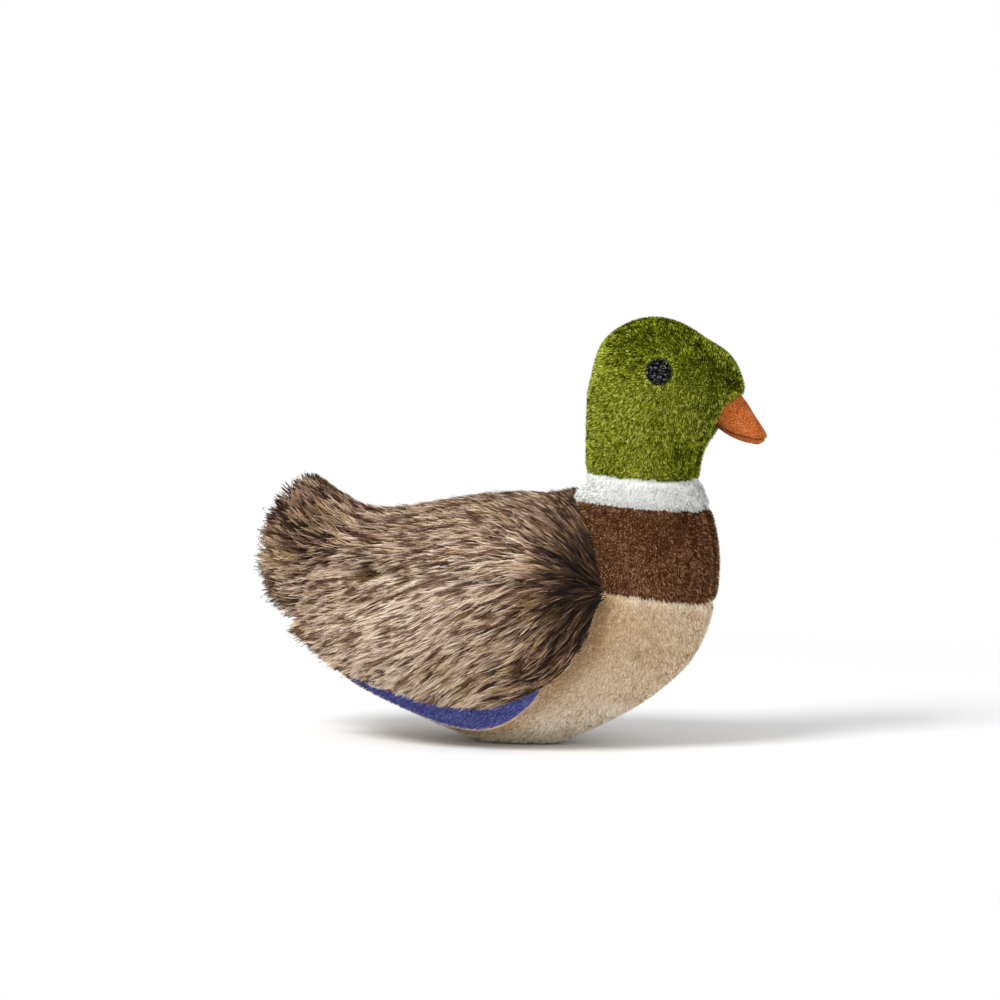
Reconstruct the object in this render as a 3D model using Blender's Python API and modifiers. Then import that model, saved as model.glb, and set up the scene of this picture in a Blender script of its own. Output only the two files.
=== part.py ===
"""Plush duck: sewn cloth panels over stuffing wads, a stuffed beak, embroidered eyes and two wing flaps.

Metres, with X from tail to beak, Y to the duck's left and Z up. The duck stands on its belly at Z = 0.
"""

import math

import bmesh
import bpy
from mathutils import Vector
from mathutils.bvhtree import BVHTree

# Overall sizes of the stuffed form
BODY_LENGTH = 0.180
BODY_HEIGHT = 0.096
BODY_WIDTH = 0.074
HEAD_LENGTH = 0.060
HEAD_HEIGHT = 0.064
HEAD_WIDTH = 0.048
FLAT_DEPTH = 0.0005
PRESS_HEIGHT = 0.004

# Cloth, pile and seams
PLUSH_THICKNESS = 0.003
FUR_THICKNESS = 0.006
SEAM_GAP = 0.0003
LAYER_GAP = 0.0003
SEAM_GROOVE = 0.0014

# Beak
BEAK_LENGTH = 0.024
BEAK_HEIGHT = 0.016
BEAK_WIDTH = 0.015
BEAK_CLOTH = 0.0011

# Embroidered eyes
EYE_RADIUS = 0.0052
EYE_THREAD = 0.0013
EYE_SINK = 0.0005
EYE_CLEARANCE = 0.0003

# Wing flaps
WING_CLEARANCE = 0.0004
WING_LINING = 0.0014
WING_FUR = 0.0065
WING_BAND = 0.0032
WING_TIP_REACH = 0.0095
WING_FLAT_REACH = 0.0195
WING_SEAM_DROP = 0.0012
WING_FEELER = 0.0030

# How finely the forms are faceted
AROUND = 28
BEAK_AROUND = 14
EYE_SIDES = 20
FUR_ROW_COUNT = 5
BAND_ROW_COUNT = 2

# Sections of the body from the tail tip to the neck: the top point and the bottom point as (x, z) shares
# of the body's length and height, its share of the body's width, and its share of the front seam's groove.
TAIL_TIP_SHARES = (-0.571, 0.785)
BODY_SHARES = (
    ((-0.545, 0.935), (-0.560, 0.630), 0.14, 0.0),
    ((-0.505, 1.035), (-0.538, 0.550), 0.24, 0.0),
    ((-0.450, 1.085), (-0.500, 0.500), 0.34, 0.0),
    ((-0.405, 1.040), (-0.455, 0.440), 0.45, 0.0),
    ((-0.360, 0.990), (-0.403, 0.375), 0.56, 0.0),
    ((-0.305, 0.968), (-0.340, 0.275), 0.70, 0.0),
    ((-0.235, 0.977), (-0.262, 0.165), 0.84, 0.0),
    ((-0.160, 1.005), (-0.165, 0.068), 0.93, 0.0),
    ((-0.085, 1.028), (-0.062, 0.0105), 0.985, 0.0),
    ((-0.004, 1.043), (0.038, 0.000), 1.00, 0.0),
    ((0.060, 1.048), (0.122, 0.020), 0.99, 0.1),
    ((0.104, 1.054), (0.210, 0.084), 0.97, 0.3),
    ((0.133, 1.064), (0.317, 0.206), 0.93, 0.6),
    ((0.152, 1.073), (0.409, 0.377), 0.86, 0.9),
    ((0.163, 1.086), (0.456, 0.608), 0.77, 1.0),
    ((0.170, 1.099), (0.464, 0.827), 0.67, 1.0),
    ((0.175, 1.112), (0.446, 0.993), 0.60, 1.0),
)

# Sections of the neck and head from the collar to the crown: the back point and the front point as (x, z)
# shares of the head's length and height from the foot of the neck, and shares of its width and the groove.
NECK_FOOT_SHARES = (0.300, 1.121)
HEAD_SHARES = (
    ((-0.39, 0.00), (0.37, 0.00), 0.86, 1.0),
    ((-0.39, 0.12), (0.39, 0.15), 0.86, 1.0),
    ((-0.39, 0.28), (0.48, 0.29), 0.90, 1.0),
    ((-0.385, 0.41), (0.60, 0.46), 0.96, 0.5),
    ((-0.38, 0.51), (0.67, 0.56), 0.99, 0.0),
    ((-0.36, 0.60), (0.645, 0.66), 1.00, 0.0),
    ((-0.325, 0.73), (0.57, 0.77), 0.96, 0.0),
    ((-0.265, 0.85), (0.405, 0.87), 0.79, 0.0),
    ((-0.15, 0.94), (0.27, 0.95), 0.50, 0.0),
)
CROWN_SHARES = (0.06, 0.995)

# Seam lines seen from the side, as (x, z) shares of the body's length and height
COLLAR_TOP_SHARES = ((0.05, 1.145), (0.60, 1.085))
COLLAR_FOOT_SHARES = ((0.05, 1.040), (0.60, 0.965))
SHOULDER_SHARES = (0.255, 0.677)
CHEST_BACK_SHARES = (
    (0.120, 1.140),
    (0.165, 1.030),
    (0.205, 0.940),
    (0.232, 0.825),
    (0.250, 0.725),
    SHOULDER_SHARES,
)
CHEST_FOOT_SHARES = (SHOULDER_SHARES, (0.350, 0.635), (0.470, 0.590), (0.560, 0.560))
WING_CORNER_SHARES = (-0.417, 0.727)
TAIL_TOP_SHARES = ((-0.280, 1.120), (-0.304, 0.966), (-0.350, 0.860), WING_CORNER_SHARES)
TAIL_FOOT_SHARES = ((-0.470, 0.580), (-0.540, 0.380))
FUR_SHARES = (*CHEST_BACK_SHARES, WING_CORNER_SHARES, *TAIL_FOOT_SHARES)
FUR_FRAME_SHARES = ((-0.90, 0.38), (-0.90, 1.60), (0.120, 1.60))
WAD_NECK_SHARES = ((0.05, 1.092), (0.60, 1.025))

# Middles of the panels and wads, as (x, z) shares of the body's length and height
TAIL_MIDDLE_SHARES = (-0.470, 0.820)
BACK_MIDDLE_SHARES = (-0.060, 0.930)
BELLY_MIDDLE_SHARES = (0.020, 0.320)
CHEST_MIDDLE_SHARES = (0.350, 0.830)
COLLAR_MIDDLE_SHARES = (0.300, 1.060)
HEAD_MIDDLE_SHARES = (0.330, 1.500)

# Beak sections from inside the head to the tip: top and bottom as (x, z) shares of the beak's length and
# height from the foot of the beak, and its share of the beak's width.
BEAK_FOOT_SHARES = (0.485, 0.378)
BEAK_SHARES = (
    ((0.27, 0.74), (-0.15, 0.03), 0.98),
    ((0.41, 0.57), (-0.02, -0.17), 1.00),
    ((0.53, 0.35), (0.17, -0.39), 0.96),
    ((0.62, 0.13), (0.40, -0.55), 0.86),
    ((0.72, -0.09), (0.59, -0.62), 0.72),
    ((0.81, -0.29), (0.74, -0.63), 0.50),
)
BEAK_TIP_SHARES = (0.85, -0.47)
BEAK_SEAM_SHARES = ((-0.40, 0.10), (0.02, -0.15), (0.34, -0.38), (0.65, -0.50), (1.00, -0.53))
BEAK_UPPER_SHARES = (0.55, 0.20)
BEAK_LOWER_SHARES = (0.40, -0.60)

# X = 0 lies halfway from the tail tip to the beak tip
TAIL_REACH = TAIL_TIP_SHARES[0] * BODY_LENGTH
HEAD_REACH = NECK_FOOT_SHARES[0] * BODY_LENGTH + BEAK_FOOT_SHARES[0] * HEAD_LENGTH
BEAK_REACH = HEAD_REACH + BEAK_TIP_SHARES[0] * BEAK_LENGTH
MIDDLE_X = (TAIL_REACH + BEAK_REACH) / 2

# Eyes as (x, z) shares of the head's length and height from the foot of the neck
EYE_SHARES = (0.191, 0.679)

# Wing columns from shoulder to tip: the (x, z) shares of the outer edge, and how far down the column the
# band starts, or would start where the fur runs on to the edge.
WING_COLUMN_SHARES = (
    ((0.245, 0.615), 0.94),
    ((0.234, 0.540), 0.94),
    ((0.215, 0.455), 0.94),
    ((0.178, 0.360), 0.95),
    ((0.128, 0.270), 0.96),
    ((0.078, 0.170), 0.90),
    ((0.020, 0.100), 0.84),
    ((-0.040, 0.075), 0.84),
    ((-0.095, 0.083), 0.86),
    ((-0.150, 0.110), 0.88),
    ((-0.215, 0.155), 0.91),
    ((-0.278, 0.202), 0.94),
    ((-0.338, 0.258), 0.96),
    ((-0.394, 0.330), 0.95),
    ((-0.450, 0.398), 0.94),
    ((-0.495, 0.460), 0.94),
)
BAND_FIRST, BAND_LAST = 4, 12
WING_FLAT_SHARES = (-0.34, 0.50)
SWELL_START_SHARE = 0.06
SWELL_SPAN_SHARE = 0.72
SWELL_ENDS_SHARE = 0.05

# The wing's hinge runs inside the flank, just above the top of the flap: (x, z) shares of the body's length
# and height, and y as a share of half its width.
HINGE_FRONT_SHARES = (0.255, 0.700, 0.62)
HINGE_BACK_SHARES = (-0.417, 0.745, 0.26)

# Colours and roughness of the cloths
COLOURS = {
    "green_plush": ((0.150, 0.235, 0.022), 0.85),
    "white_plush": ((0.800, 0.820, 0.830), 0.90),
    "brown_plush": ((0.085, 0.034, 0.016), 0.85),
    "cream_plush": ((0.580, 0.440, 0.290), 0.85),
    "mottled_fur": ((0.230, 0.150, 0.085), 0.80),
    "blue_plush": ((0.048, 0.050, 0.270), 0.75),
    "orange_suede": ((0.500, 0.110, 0.025), 0.90),
    "black_thread": ((0.012, 0.012, 0.014), 0.45),
    "stuffing": ((0.850, 0.850, 0.830), 1.00),
}

# The two sides, and how far the cutters reach past the duck
SIDES = (("left", 1), ("right", -1))
REACH = BODY_LENGTH + HEAD_HEIGHT
SHARP_ANGLE = math.radians(40)

# The most of its own thickness, and of the way to its middle plane, that a form is moved in by
THIN_SHARE = 0.3
MIDDLE_SHARE = 0.6


def clear_scene():
    """Removes every object that the scene starts with."""
    for obj in list(bpy.data.objects):
        bpy.data.objects.remove(obj, do_unlink=True)


def make_collection(name):
    """Returns a new collection in the scene."""
    collection = bpy.data.collections.new(name)
    bpy.context.scene.collection.children.link(collection)
    return collection


def make_materials():
    """Returns one Principled material for each cloth, by name."""
    made = {}
    for name, (colour, roughness) in COLOURS.items():
        material = bpy.data.materials.new(name)
        material.use_nodes = True
        shader = material.node_tree.nodes["Principled BSDF"]
        shader.inputs["Base Color"].default_value = (*colour, 1.0)
        shader.inputs["Roughness"].default_value = roughness
        shader.inputs["Metallic"].default_value = 0.0
        made[name] = material
    return made


def body_point(share):
    """Returns the (x, z) place of a share of the body's length and height, sunk by the depth of its flat."""
    return Vector((share[0] * BODY_LENGTH - MIDDLE_X, share[1] * BODY_HEIGHT - FLAT_DEPTH))


def head_point(share):
    """Returns the (x, z) place of a share of the head's length and height."""
    foot = body_point(NECK_FOOT_SHARES)
    return foot + Vector((share[0] * HEAD_LENGTH, share[1] * HEAD_HEIGHT))


def beak_point(share):
    """Returns the (x, z) place of a share of the beak's length and height."""
    foot = head_point(BEAK_FOOT_SHARES)
    return foot + Vector((share[0] * BEAK_LENGTH, share[1] * BEAK_HEIGHT))


def oval(top, bottom, half_width, groove, count):
    """Returns an oval ring of points from its top point round by the left, with its bottom point drawn in."""
    centre = (top + bottom) / 2
    half = (top - bottom) / 2
    points = []
    for i in range(count):
        angle = 2 * math.pi * i / count
        place = centre + half * math.cos(angle)
        if 2 * i == count:
            place += half.normalized() * groove
        points.append(Vector((place.x, half_width * math.sin(angle), place.y)))
    return points


def pressed(point):
    """Returns a point of the body, lowered near the ground, where the duck's weight presses the belly flat."""
    over = point.z + FLAT_DEPTH
    if over >= PRESS_HEIGHT:
        return point
    return Vector((point.x, point.y, over * over / PRESS_HEIGHT - FLAT_DEPTH))


def loft(rings, first_tip, last_tip):
    """Returns a closed bmesh of triangles through the rings, drawn to a point at both ends."""
    mesh = bmesh.new()
    rows = [[mesh.verts.new(point) for point in ring] for ring in rings]
    count = len(rows[0])
    for row, after in zip(rows, rows[1:]):
        for i in range(count):
            j = (i + 1) % count
            mesh.faces.new((row[i], row[j], after[j], after[i]))
    for row, tip in ((rows[0], first_tip), (rows[-1], last_tip)):
        end = mesh.verts.new((tip.x, 0.0, tip.y))
        for i in range(count):
            mesh.faces.new((row[(i + 1) % count], row[i], end))
    bmesh.ops.triangulate(mesh, faces=mesh.faces)
    bmesh.ops.recalc_face_normals(mesh, faces=mesh.faces)
    return mesh


def duck_form():
    """Returns the outer surface of the stuffed body, neck and head."""
    rings = []
    for top, bottom, width, groove in BODY_SHARES:
        half_width = width * BODY_WIDTH / 2
        ring = oval(body_point(top), body_point(bottom), half_width, groove * SEAM_GROOVE, AROUND)
        rings.append([pressed(point) for point in ring])
    for back, front, width, groove in HEAD_SHARES:
        half_width = width * HEAD_WIDTH / 2
        rings.append(oval(head_point(back), head_point(front), half_width, groove * SEAM_GROOVE, AROUND))
    return loft(rings, body_point(TAIL_TIP_SHARES), head_point(CROWN_SHARES))


def beak_form():
    """Returns the outer surface of the beak, whose root lies inside the head."""
    rings = []
    for top, bottom, width in BEAK_SHARES:
        rings.append(oval(beak_point(top), beak_point(bottom), width * BEAK_WIDTH / 2, 0.0, BEAK_AROUND))
    root = (beak_point(BEAK_SHARES[0][0]) + beak_point(BEAK_SHARES[0][1])) / 2
    return loft(rings, root, beak_point(BEAK_TIP_SHARES))


def loose_groups(mesh):
    """Returns the vertices of each separate island of a bmesh."""
    left = set(mesh.verts)
    groups = []
    while left:
        group = [left.pop()]
        for vertex in group:
            for edge in vertex.link_edges:
                other = edge.other_vert(vertex)
                if other in left:
                    left.discard(other)
                    group.append(other)
        groups.append(group)
    return groups


class Workshop:
    """Makes the solids of the duck from its forms and cutters."""

    def __init__(self):
        """Lays out the collections, the cloths and the two stuffed forms."""
        self.parts = make_collection("plush_duck")
        self.cutters = make_collection("cutters")
        self.materials = make_materials()
        self.duck = duck_form()
        self.beak = beak_form()
        self.skin = BVHTree.FromBMesh(self.duck)

    def cutter(self, name, data):
        """Adds a mesh as a cutter, which isn't a part."""
        obj = bpy.data.objects.new(name, data)
        self.cutters.objects.link(obj)
        obj.hide_render = True
        obj.display_type = "WIRE"
        return obj

    def cutter_of(self, name, mesh):
        """Adds a bmesh as a cutter and frees it."""
        data = bpy.data.meshes.new(name)
        mesh.to_mesh(data)
        mesh.free()
        return self.cutter(name, data)

    def sunk(self, name, form, depth, gap=0.0):
        """Adds a cutter with the form moved in by a depth, less where it is thin, and then by a gap."""
        mesh = form.copy()
        mesh.normal_update()
        tree = BVHTree.FromBMesh(form)
        limits = {}
        for vertex in mesh.verts:
            start = vertex.co - vertex.normal * SEAM_GAP
            through = tree.ray_cast(start, -vertex.normal)[3] or 0.0
            outward = abs(vertex.co.y) > SEAM_GAP and vertex.normal.y * vertex.co.y > 0.0
            to_middle = vertex.co.y / vertex.normal.y if outward else through
            limits[vertex] = min(THIN_SHARE * through, MIDDLE_SHARE * to_middle)
        moves = []
        for vertex in mesh.verts:
            around = [limits[edge.other_vert(vertex)] for edge in vertex.link_edges]
            moves.append(vertex.normal * (min(depth, limits[vertex], *around) + gap))
        for vertex, move in zip(mesh.verts, moves):
            vertex.co -= move
        return self.cutter_of(name, mesh)

    def combined(self, name, target, *steps, solver="EXACT"):
        """Adds a cutter made from the target by steps of (operation, other object)."""
        obj = self.cutter(name, target.data.copy())
        for operation, other in steps:
            modifier = obj.modifiers.new(other.name, "BOOLEAN")
            modifier.operation = operation
            modifier.object = other
            modifier.solver = solver
        return self.settled(obj)

    def settled(self, obj):
        """Turns an object's modifiers into mesh and returns it."""
        graph = bpy.context.evaluated_depsgraph_get()
        shaped = bpy.data.meshes.new_from_object(obj.evaluated_get(graph))
        obj.modifiers.clear()
        obj.data = shaped
        return obj

    def seam(self, name, points):
        """Adds a cutter along a seam seen from the side: a ribbon across the duck, SEAM_GAP thick."""
        mesh = bmesh.new()
        edges = [[mesh.verts.new((p.x, side * REACH, p.y)) for side in (-1, 1)] for p in points]
        for (a, b), (c, d) in zip(edges, edges[1:]):
            mesh.faces.new((a, b, d, c))
        obj = self.cutter_of(name, mesh)
        thick = obj.modifiers.new("thick", "SOLIDIFY")
        thick.thickness = SEAM_GAP
        thick.offset = 0.0
        thick.use_even_offset = True
        return self.settled(obj)

    def block(self, name, points, low, high):
        """Adds a cutter for a region seen from the side, from one Y to another."""
        mesh = bmesh.new()
        rings = [[mesh.verts.new((p.x, y, p.y)) for p in points] for y in (low, high)]
        for ring in rings:
            mesh.faces.new(ring)
        for i in range(len(points)):
            j = (i + 1) % len(points)
            mesh.faces.new((rings[0][i], rings[0][j], rings[1][j], rings[1][i]))
        bmesh.ops.recalc_face_normals(mesh, faces=mesh.faces)
        return self.cutter_of(name, mesh)

    def rod(self, name, place, radius, side):
        """Adds a cutter for a round rod from the middle plane out to one side."""
        bpy.ops.mesh.primitive_cylinder_add(
            vertices=EYE_SIDES,
            radius=radius,
            depth=REACH,
            location=(place.x, side * REACH / 2, place.y),
            rotation=(math.pi / 2, 0.0, 0.0),
        )
        obj = bpy.context.object
        obj.name = name
        bpy.ops.object.transform_apply(location=True, rotation=True, scale=True)
        for collection in list(obj.users_collection):
            collection.objects.unlink(obj)
        self.cutters.objects.link(obj)
        obj.hide_render = True
        obj.display_type = "WIRE"
        return obj

    def part(self, name, data, cloth):
        """Adds a mesh as a part in its cloth, with smooth shading."""
        data.materials.clear()
        data.materials.append(self.materials[cloth])
        data.shade_smooth()
        data.set_sharp_from_angle(angle=SHARP_ANGLE)
        obj = bpy.data.objects.new(name, data)
        self.parts.objects.link(obj)
        return obj

    def island(self, source, place, name, cloth, *steps):
        """Adds as a part the island of a cut solid whose middle lies nearest to a place, after more steps."""
        mesh = bmesh.new()
        mesh.from_mesh(source.data)
        group = min(loose_groups(mesh), key=lambda verts: (middle(verts) - place).length)
        keep = set(group)
        bmesh.ops.delete(mesh, geom=[v for v in mesh.verts if v not in keep], context="VERTS")
        bmesh.ops.recalc_face_normals(mesh, faces=mesh.faces)
        cut = self.cutter_of(name + "_cut", mesh)
        if steps:
            cut = self.combined(name + "_shaped", cut, *steps)
        return self.part(name, cut.data.copy(), cloth)

    def half_width(self, place):
        """Returns the form's half width at an (x, z) place seen from the side, or 0 beyond its outline."""
        hit = self.skin.ray_cast(Vector((place.x, REACH, place.y)), Vector((0.0, -1.0, 0.0)))[0]
        return hit.y if hit else 0.0


def middle(verts):
    """Returns the mean place of some vertices."""
    return sum((vertex.co for vertex in verts), Vector()) / len(verts)


def upright(low, high):
    """Returns the corners of a rectangle seen from the side, wider than the duck, between two heights."""
    return [Vector(corner) for corner in ((-REACH, low), (REACH, low), (REACH, high), (-REACH, high))]


def on_middle(place):
    """Returns the point of the middle plane at an (x, z) place."""
    return Vector((place.x, 0.0, place.y))


def beside(share, side):
    """Returns the place of a share of the body's length and height, halfway out to one side."""
    place = body_point(share)
    return Vector((place.x, side * BODY_WIDTH / 4, place.y))


def make_panels(shop):
    """Makes the cloth panels, cut from a plush skin and a fur skin along their seams."""
    outer = shop.sunk("outer", shop.duck, 0.0)
    middle_seam = shop.block("middle_seam", upright(-REACH, REACH), -SEAM_GAP / 2, SEAM_GAP / 2)
    ground = shop.block("ground", upright(-REACH, 0.0), -REACH, REACH)
    fur_seam = shop.seam("fur_seam", [body_point(share) for share in FUR_SHARES])
    cuts = {}
    for name, shares in (
        ("collar_top", COLLAR_TOP_SHARES),
        ("collar_foot", COLLAR_FOOT_SHARES),
        ("chest_foot", CHEST_FOOT_SHARES),
        ("tail_top", TAIL_TOP_SHARES),
    ):
        cuts[name] = shop.seam(name, [body_point(share) for share in shares])
    plush = shop.combined(
        "plush_skin",
        outer,
        ("DIFFERENCE", shop.sunk("plush_inside", shop.duck, PLUSH_THICKNESS)),
        ("DIFFERENCE", fur_seam),
        ("DIFFERENCE", cuts["collar_top"]),
        ("DIFFERENCE", cuts["collar_foot"]),
        ("DIFFERENCE", cuts["chest_foot"]),
        ("DIFFERENCE", ground),
        ("DIFFERENCE", middle_seam),
        solver="MANIFOLD",
    )
    fur = shop.combined(
        "fur_skin",
        outer,
        ("DIFFERENCE", shop.sunk("fur_inside", shop.duck, FUR_THICKNESS)),
        ("DIFFERENCE", fur_seam),
        ("DIFFERENCE", cuts["tail_top"]),
        ("DIFFERENCE", middle_seam),
        solver="MANIFOLD",
    )
    socket_depth = EYE_SINK + EYE_THREAD + EYE_CLEARANCE
    socket_floor = shop.sunk("socket_floor", shop.duck, socket_depth)
    for side_name, side in SIDES:
        rod = shop.rod("socket_rod_" + side_name, head_point(EYE_SHARES), EYE_RADIUS + EYE_CLEARANCE, side)
        socket = shop.combined("socket_" + side_name, rod, ("DIFFERENCE", socket_floor))
        shop.island(
            plush,
            beside(HEAD_MIDDLE_SHARES, side),
            "head_panel_" + side_name,
            "green_plush",
            ("DIFFERENCE", socket),
        )
        for name, cloth, source, share in (
            ("collar_panel_", "white_plush", plush, COLLAR_MIDDLE_SHARES),
            ("chest_panel_", "brown_plush", plush, CHEST_MIDDLE_SHARES),
            ("belly_panel_", "cream_plush", plush, BELLY_MIDDLE_SHARES),
            ("back_panel_", "mottled_fur", fur, BACK_MIDDLE_SHARES),
            ("tail_panel_", "mottled_fur", fur, TAIL_MIDDLE_SHARES),
        ):
            shop.island(source, beside(share, side), name + side_name, cloth)


def make_wads(shop):
    """Makes the three stuffing wads that fill the skin, with room for the thicker fur cloth."""
    fur_outline = [body_point(share) for share in (*FUR_SHARES, *FUR_FRAME_SHARES)]
    fur_floor = shop.sunk("fur_floor", shop.duck, FUR_THICKNESS, LAYER_GAP)
    fur_room = shop.combined(
        "fur_room",
        shop.sunk("fur_outside", shop.duck, 0.0),
        ("DIFFERENCE", fur_floor),
        ("INTERSECT", shop.block("fur_outline", fur_outline, -REACH, REACH)),
    )
    neck_wad = shop.seam("neck_wad", [body_point(share) for share in WAD_NECK_SHARES])
    tail_wad = shop.seam("tail_wad", [body_point(share) for share in (*TAIL_TOP_SHARES, *TAIL_FOOT_SHARES)])
    core = shop.combined(
        "core",
        shop.sunk("core_outside", shop.duck, PLUSH_THICKNESS, LAYER_GAP),
        ("DIFFERENCE", neck_wad),
        ("DIFFERENCE", tail_wad),
    )
    tail_core = shop.combined("tail_core", fur_floor, ("DIFFERENCE", tail_wad))
    shop.island(core, on_middle(body_point(HEAD_MIDDLE_SHARES)), "head_stuffing", "stuffing")
    shop.island(
        core,
        on_middle(body_point(BELLY_MIDDLE_SHARES)),
        "body_stuffing",
        "stuffing",
        ("DIFFERENCE", fur_room),
    )
    shop.island(tail_core, on_middle(body_point(TAIL_MIDDLE_SHARES)), "tail_stuffing", "stuffing")


def make_eyes(shop):
    """Makes the two discs of thread, set in the sockets of the head panels."""
    surface = shop.sunk("eye_surface", shop.duck, EYE_SINK)
    floor = shop.sunk("eye_floor", shop.duck, EYE_SINK + EYE_THREAD)
    for side_name, side in SIDES:
        rod = shop.rod("eye_rod_" + side_name, head_point(EYE_SHARES), EYE_RADIUS, side)
        eye = shop.combined("eye_cut_" + side_name, rod, ("INTERSECT", surface), ("DIFFERENCE", floor))
        shop.part("eye_" + side_name, eye.data.copy(), "black_thread")


def make_beak(shop):
    """Makes the beak's upper and lower cloth and the wad inside, standing on the head."""
    head = shop.sunk("head_clear", shop.duck, 0.0, -LAYER_GAP)
    seam = shop.seam("beak_seam", [beak_point(share) for share in BEAK_SEAM_SHARES])
    cloth = shop.combined(
        "beak_cloth",
        shop.sunk("beak_outside", shop.beak, 0.0),
        ("DIFFERENCE", shop.sunk("beak_inside", shop.beak, BEAK_CLOTH)),
        ("DIFFERENCE", head),
        ("DIFFERENCE", seam),
    )
    shop.island(cloth, on_middle(beak_point(BEAK_UPPER_SHARES)), "beak_upper", "orange_suede")
    shop.island(cloth, on_middle(beak_point(BEAK_LOWER_SHARES)), "beak_lower", "orange_suede")
    wad = shop.combined(
        "beak_wad", shop.sunk("beak_core", shop.beak, BEAK_CLOTH, LAYER_GAP), ("DIFFERENCE", head)
    )
    shop.part("beak_stuffing", wad.data.copy(), "stuffing")


def wing_column(column):
    """Returns the top and the bottom (x, z) place of a wing column."""
    along = column / (len(WING_COLUMN_SHARES) - 1)
    top = body_point(SHOULDER_SHARES).lerp(body_point(WING_CORNER_SHARES), along)
    return top - Vector((0.0, WING_SEAM_DROP)), body_point(WING_COLUMN_SHARES[column][0])


def wing_rest(shop, place):
    """Returns how far from the middle plane the wing's inner side lies, on the flank or hanging past it."""
    tip = body_point(WING_COLUMN_SHARES[-1][0]).x
    flat = body_point(WING_FLAT_SHARES).x
    along = min(1.0, max(0.0, (place.x - tip) / (flat - tip)))
    free = WING_TIP_REACH + (WING_FLAT_REACH - WING_TIP_REACH) * along
    around = [place + Vector((x, z)) * WING_FEELER for x in (-1, 0, 1) for z in (-1, 0, 1)]
    return max(free, WING_CLEARANCE + max(shop.half_width(point) for point in around))


def wing_swell(corner):
    """Returns the share of its full thickness that the wing has at a corner of its grid."""
    top, bottom = wing_column(corner[0])
    down = (wing_place(*corner) - top).length / (bottom - top).length
    along = corner[0] / (len(WING_COLUMN_SHARES) - 1)
    ends = math.sin(math.pi * (SWELL_ENDS_SHARE + (1 - 2 * SWELL_ENDS_SHARE) * along))
    return math.sqrt(ends) * math.sin(math.pi * (SWELL_START_SHARE + SWELL_SPAN_SHARE * down))


def wing_place(column, row):
    """Returns the (x, z) place of a corner of the wing's grid."""
    top, bottom = wing_column(column)
    start = WING_COLUMN_SHARES[column][1]
    if row <= FUR_ROW_COUNT:
        return top.lerp(bottom, start * row / FUR_ROW_COUNT)
    return top.lerp(bottom, start + (1 - start) * (row - FUR_ROW_COUNT) / BAND_ROW_COUNT)


def ring_of(cell):
    """Returns the four corners of a grid cell in order."""
    column, row = cell
    return ((column, row), (column, row + 1), (column + 1, row + 1), (column + 1, row))


def cell_middle(cell):
    """Returns the (x, z) place of the middle of a grid cell."""
    return sum((wing_place(*corner) for corner in ring_of(cell)), Vector((0.0, 0.0))) / len(ring_of(cell))


def wing_layer(shop, cells, low, full, draw_in, side):
    """Returns a closed wing layer over some grid cells, from low outwards, with its rim drawn in."""
    mesh = bmesh.new()
    touching = {}
    uses = {}
    for cell in cells:
        ring = ring_of(cell)
        for corner, after in zip(ring, ring[1:] + ring[:1]):
            touching.setdefault(corner, []).append(cell)
            edge = tuple(sorted((corner, after)))
            uses[edge] = uses.get(edge, 0) + 1
    rim = [edge for edge, count in uses.items() if count == 1]
    on_rim = {corner for edge in rim for corner in edge}
    inner, outer = {}, {}
    for corner, around in touching.items():
        place = wing_place(*corner)
        if corner in on_rim and draw_in:
            inward = sum((cell_middle(cell) for cell in around), Vector((0.0, 0.0))) / len(around) - place
            place += inward.normalized() * draw_in
        rest = wing_rest(shop, place) + low
        depth = full(corner)
        inner[corner] = mesh.verts.new((place.x, side * rest, place.y))
        outer[corner] = mesh.verts.new((place.x, side * (rest + depth), place.y))
    quads = [[grid[corner] for corner in ring_of(cell)] for cell in cells for grid in (inner, outer)]
    quads += [[inner[a], inner[b], outer[b], outer[a]] for a, b in rim]
    for a, b, c, d in quads:
        mesh.faces.new((a, b, c))
        mesh.faces.new((a, c, d))
    bmesh.ops.recalc_face_normals(mesh, faces=mesh.faces)
    data = bpy.data.meshes.new("wing_layer")
    mesh.to_mesh(data)
    mesh.free()
    return data


def make_wing(shop, side_name, side):
    """Makes one wing flap: fur and a blue band over a lining, hung on an empty at its hinge."""
    rows = FUR_ROW_COUNT + BAND_ROW_COUNT
    grid = [(column, row) for column in range(len(WING_COLUMN_SHARES) - 1) for row in range(rows)]
    band = [cell for cell in grid if BAND_FIRST <= cell[0] < BAND_LAST and cell[1] >= FUR_ROW_COUNT]
    fur = [cell for cell in grid if cell not in band]
    over = WING_LINING + LAYER_GAP
    layers = (
        ("lining", "cream_plush", grid, 0.0, lambda corner: WING_LINING, 0.0),
        ("fur", "mottled_fur", fur, over, lambda corner: WING_FUR * wing_swell(corner), 0.0),
        ("band", "blue_plush", band, over, lambda corner: WING_BAND * wing_swell(corner), SEAM_GAP),
    )
    ends = []
    for share in (HINGE_FRONT_SHARES, HINGE_BACK_SHARES):
        place = body_point(share)
        ends.append(Vector((place.x, side * share[2] * BODY_WIDTH / 2, place.y)))
    hinge = bpy.data.objects.new("wing_hinge_" + side_name, None)
    hinge.location = (ends[0] + ends[1]) / len(ends)
    shop.parts.objects.link(hinge)
    bpy.context.view_layer.update()
    for layer, cloth, cells, low, full, draw_in in layers:
        data = wing_layer(shop, cells, low, full, draw_in, side)
        piece = shop.part("wing_" + layer + "_" + side_name, data, cloth)
        piece.parent = hinge
        piece.matrix_parent_inverse = hinge.matrix_world.inverted()


def main():
    """Builds the whole duck."""
    clear_scene()
    shop = Workshop()
    make_panels(shop)
    make_wads(shop)
    make_eyes(shop)
    make_beak(shop)
    for side_name, side in SIDES:
        make_wing(shop, side_name, side)


main()
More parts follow.
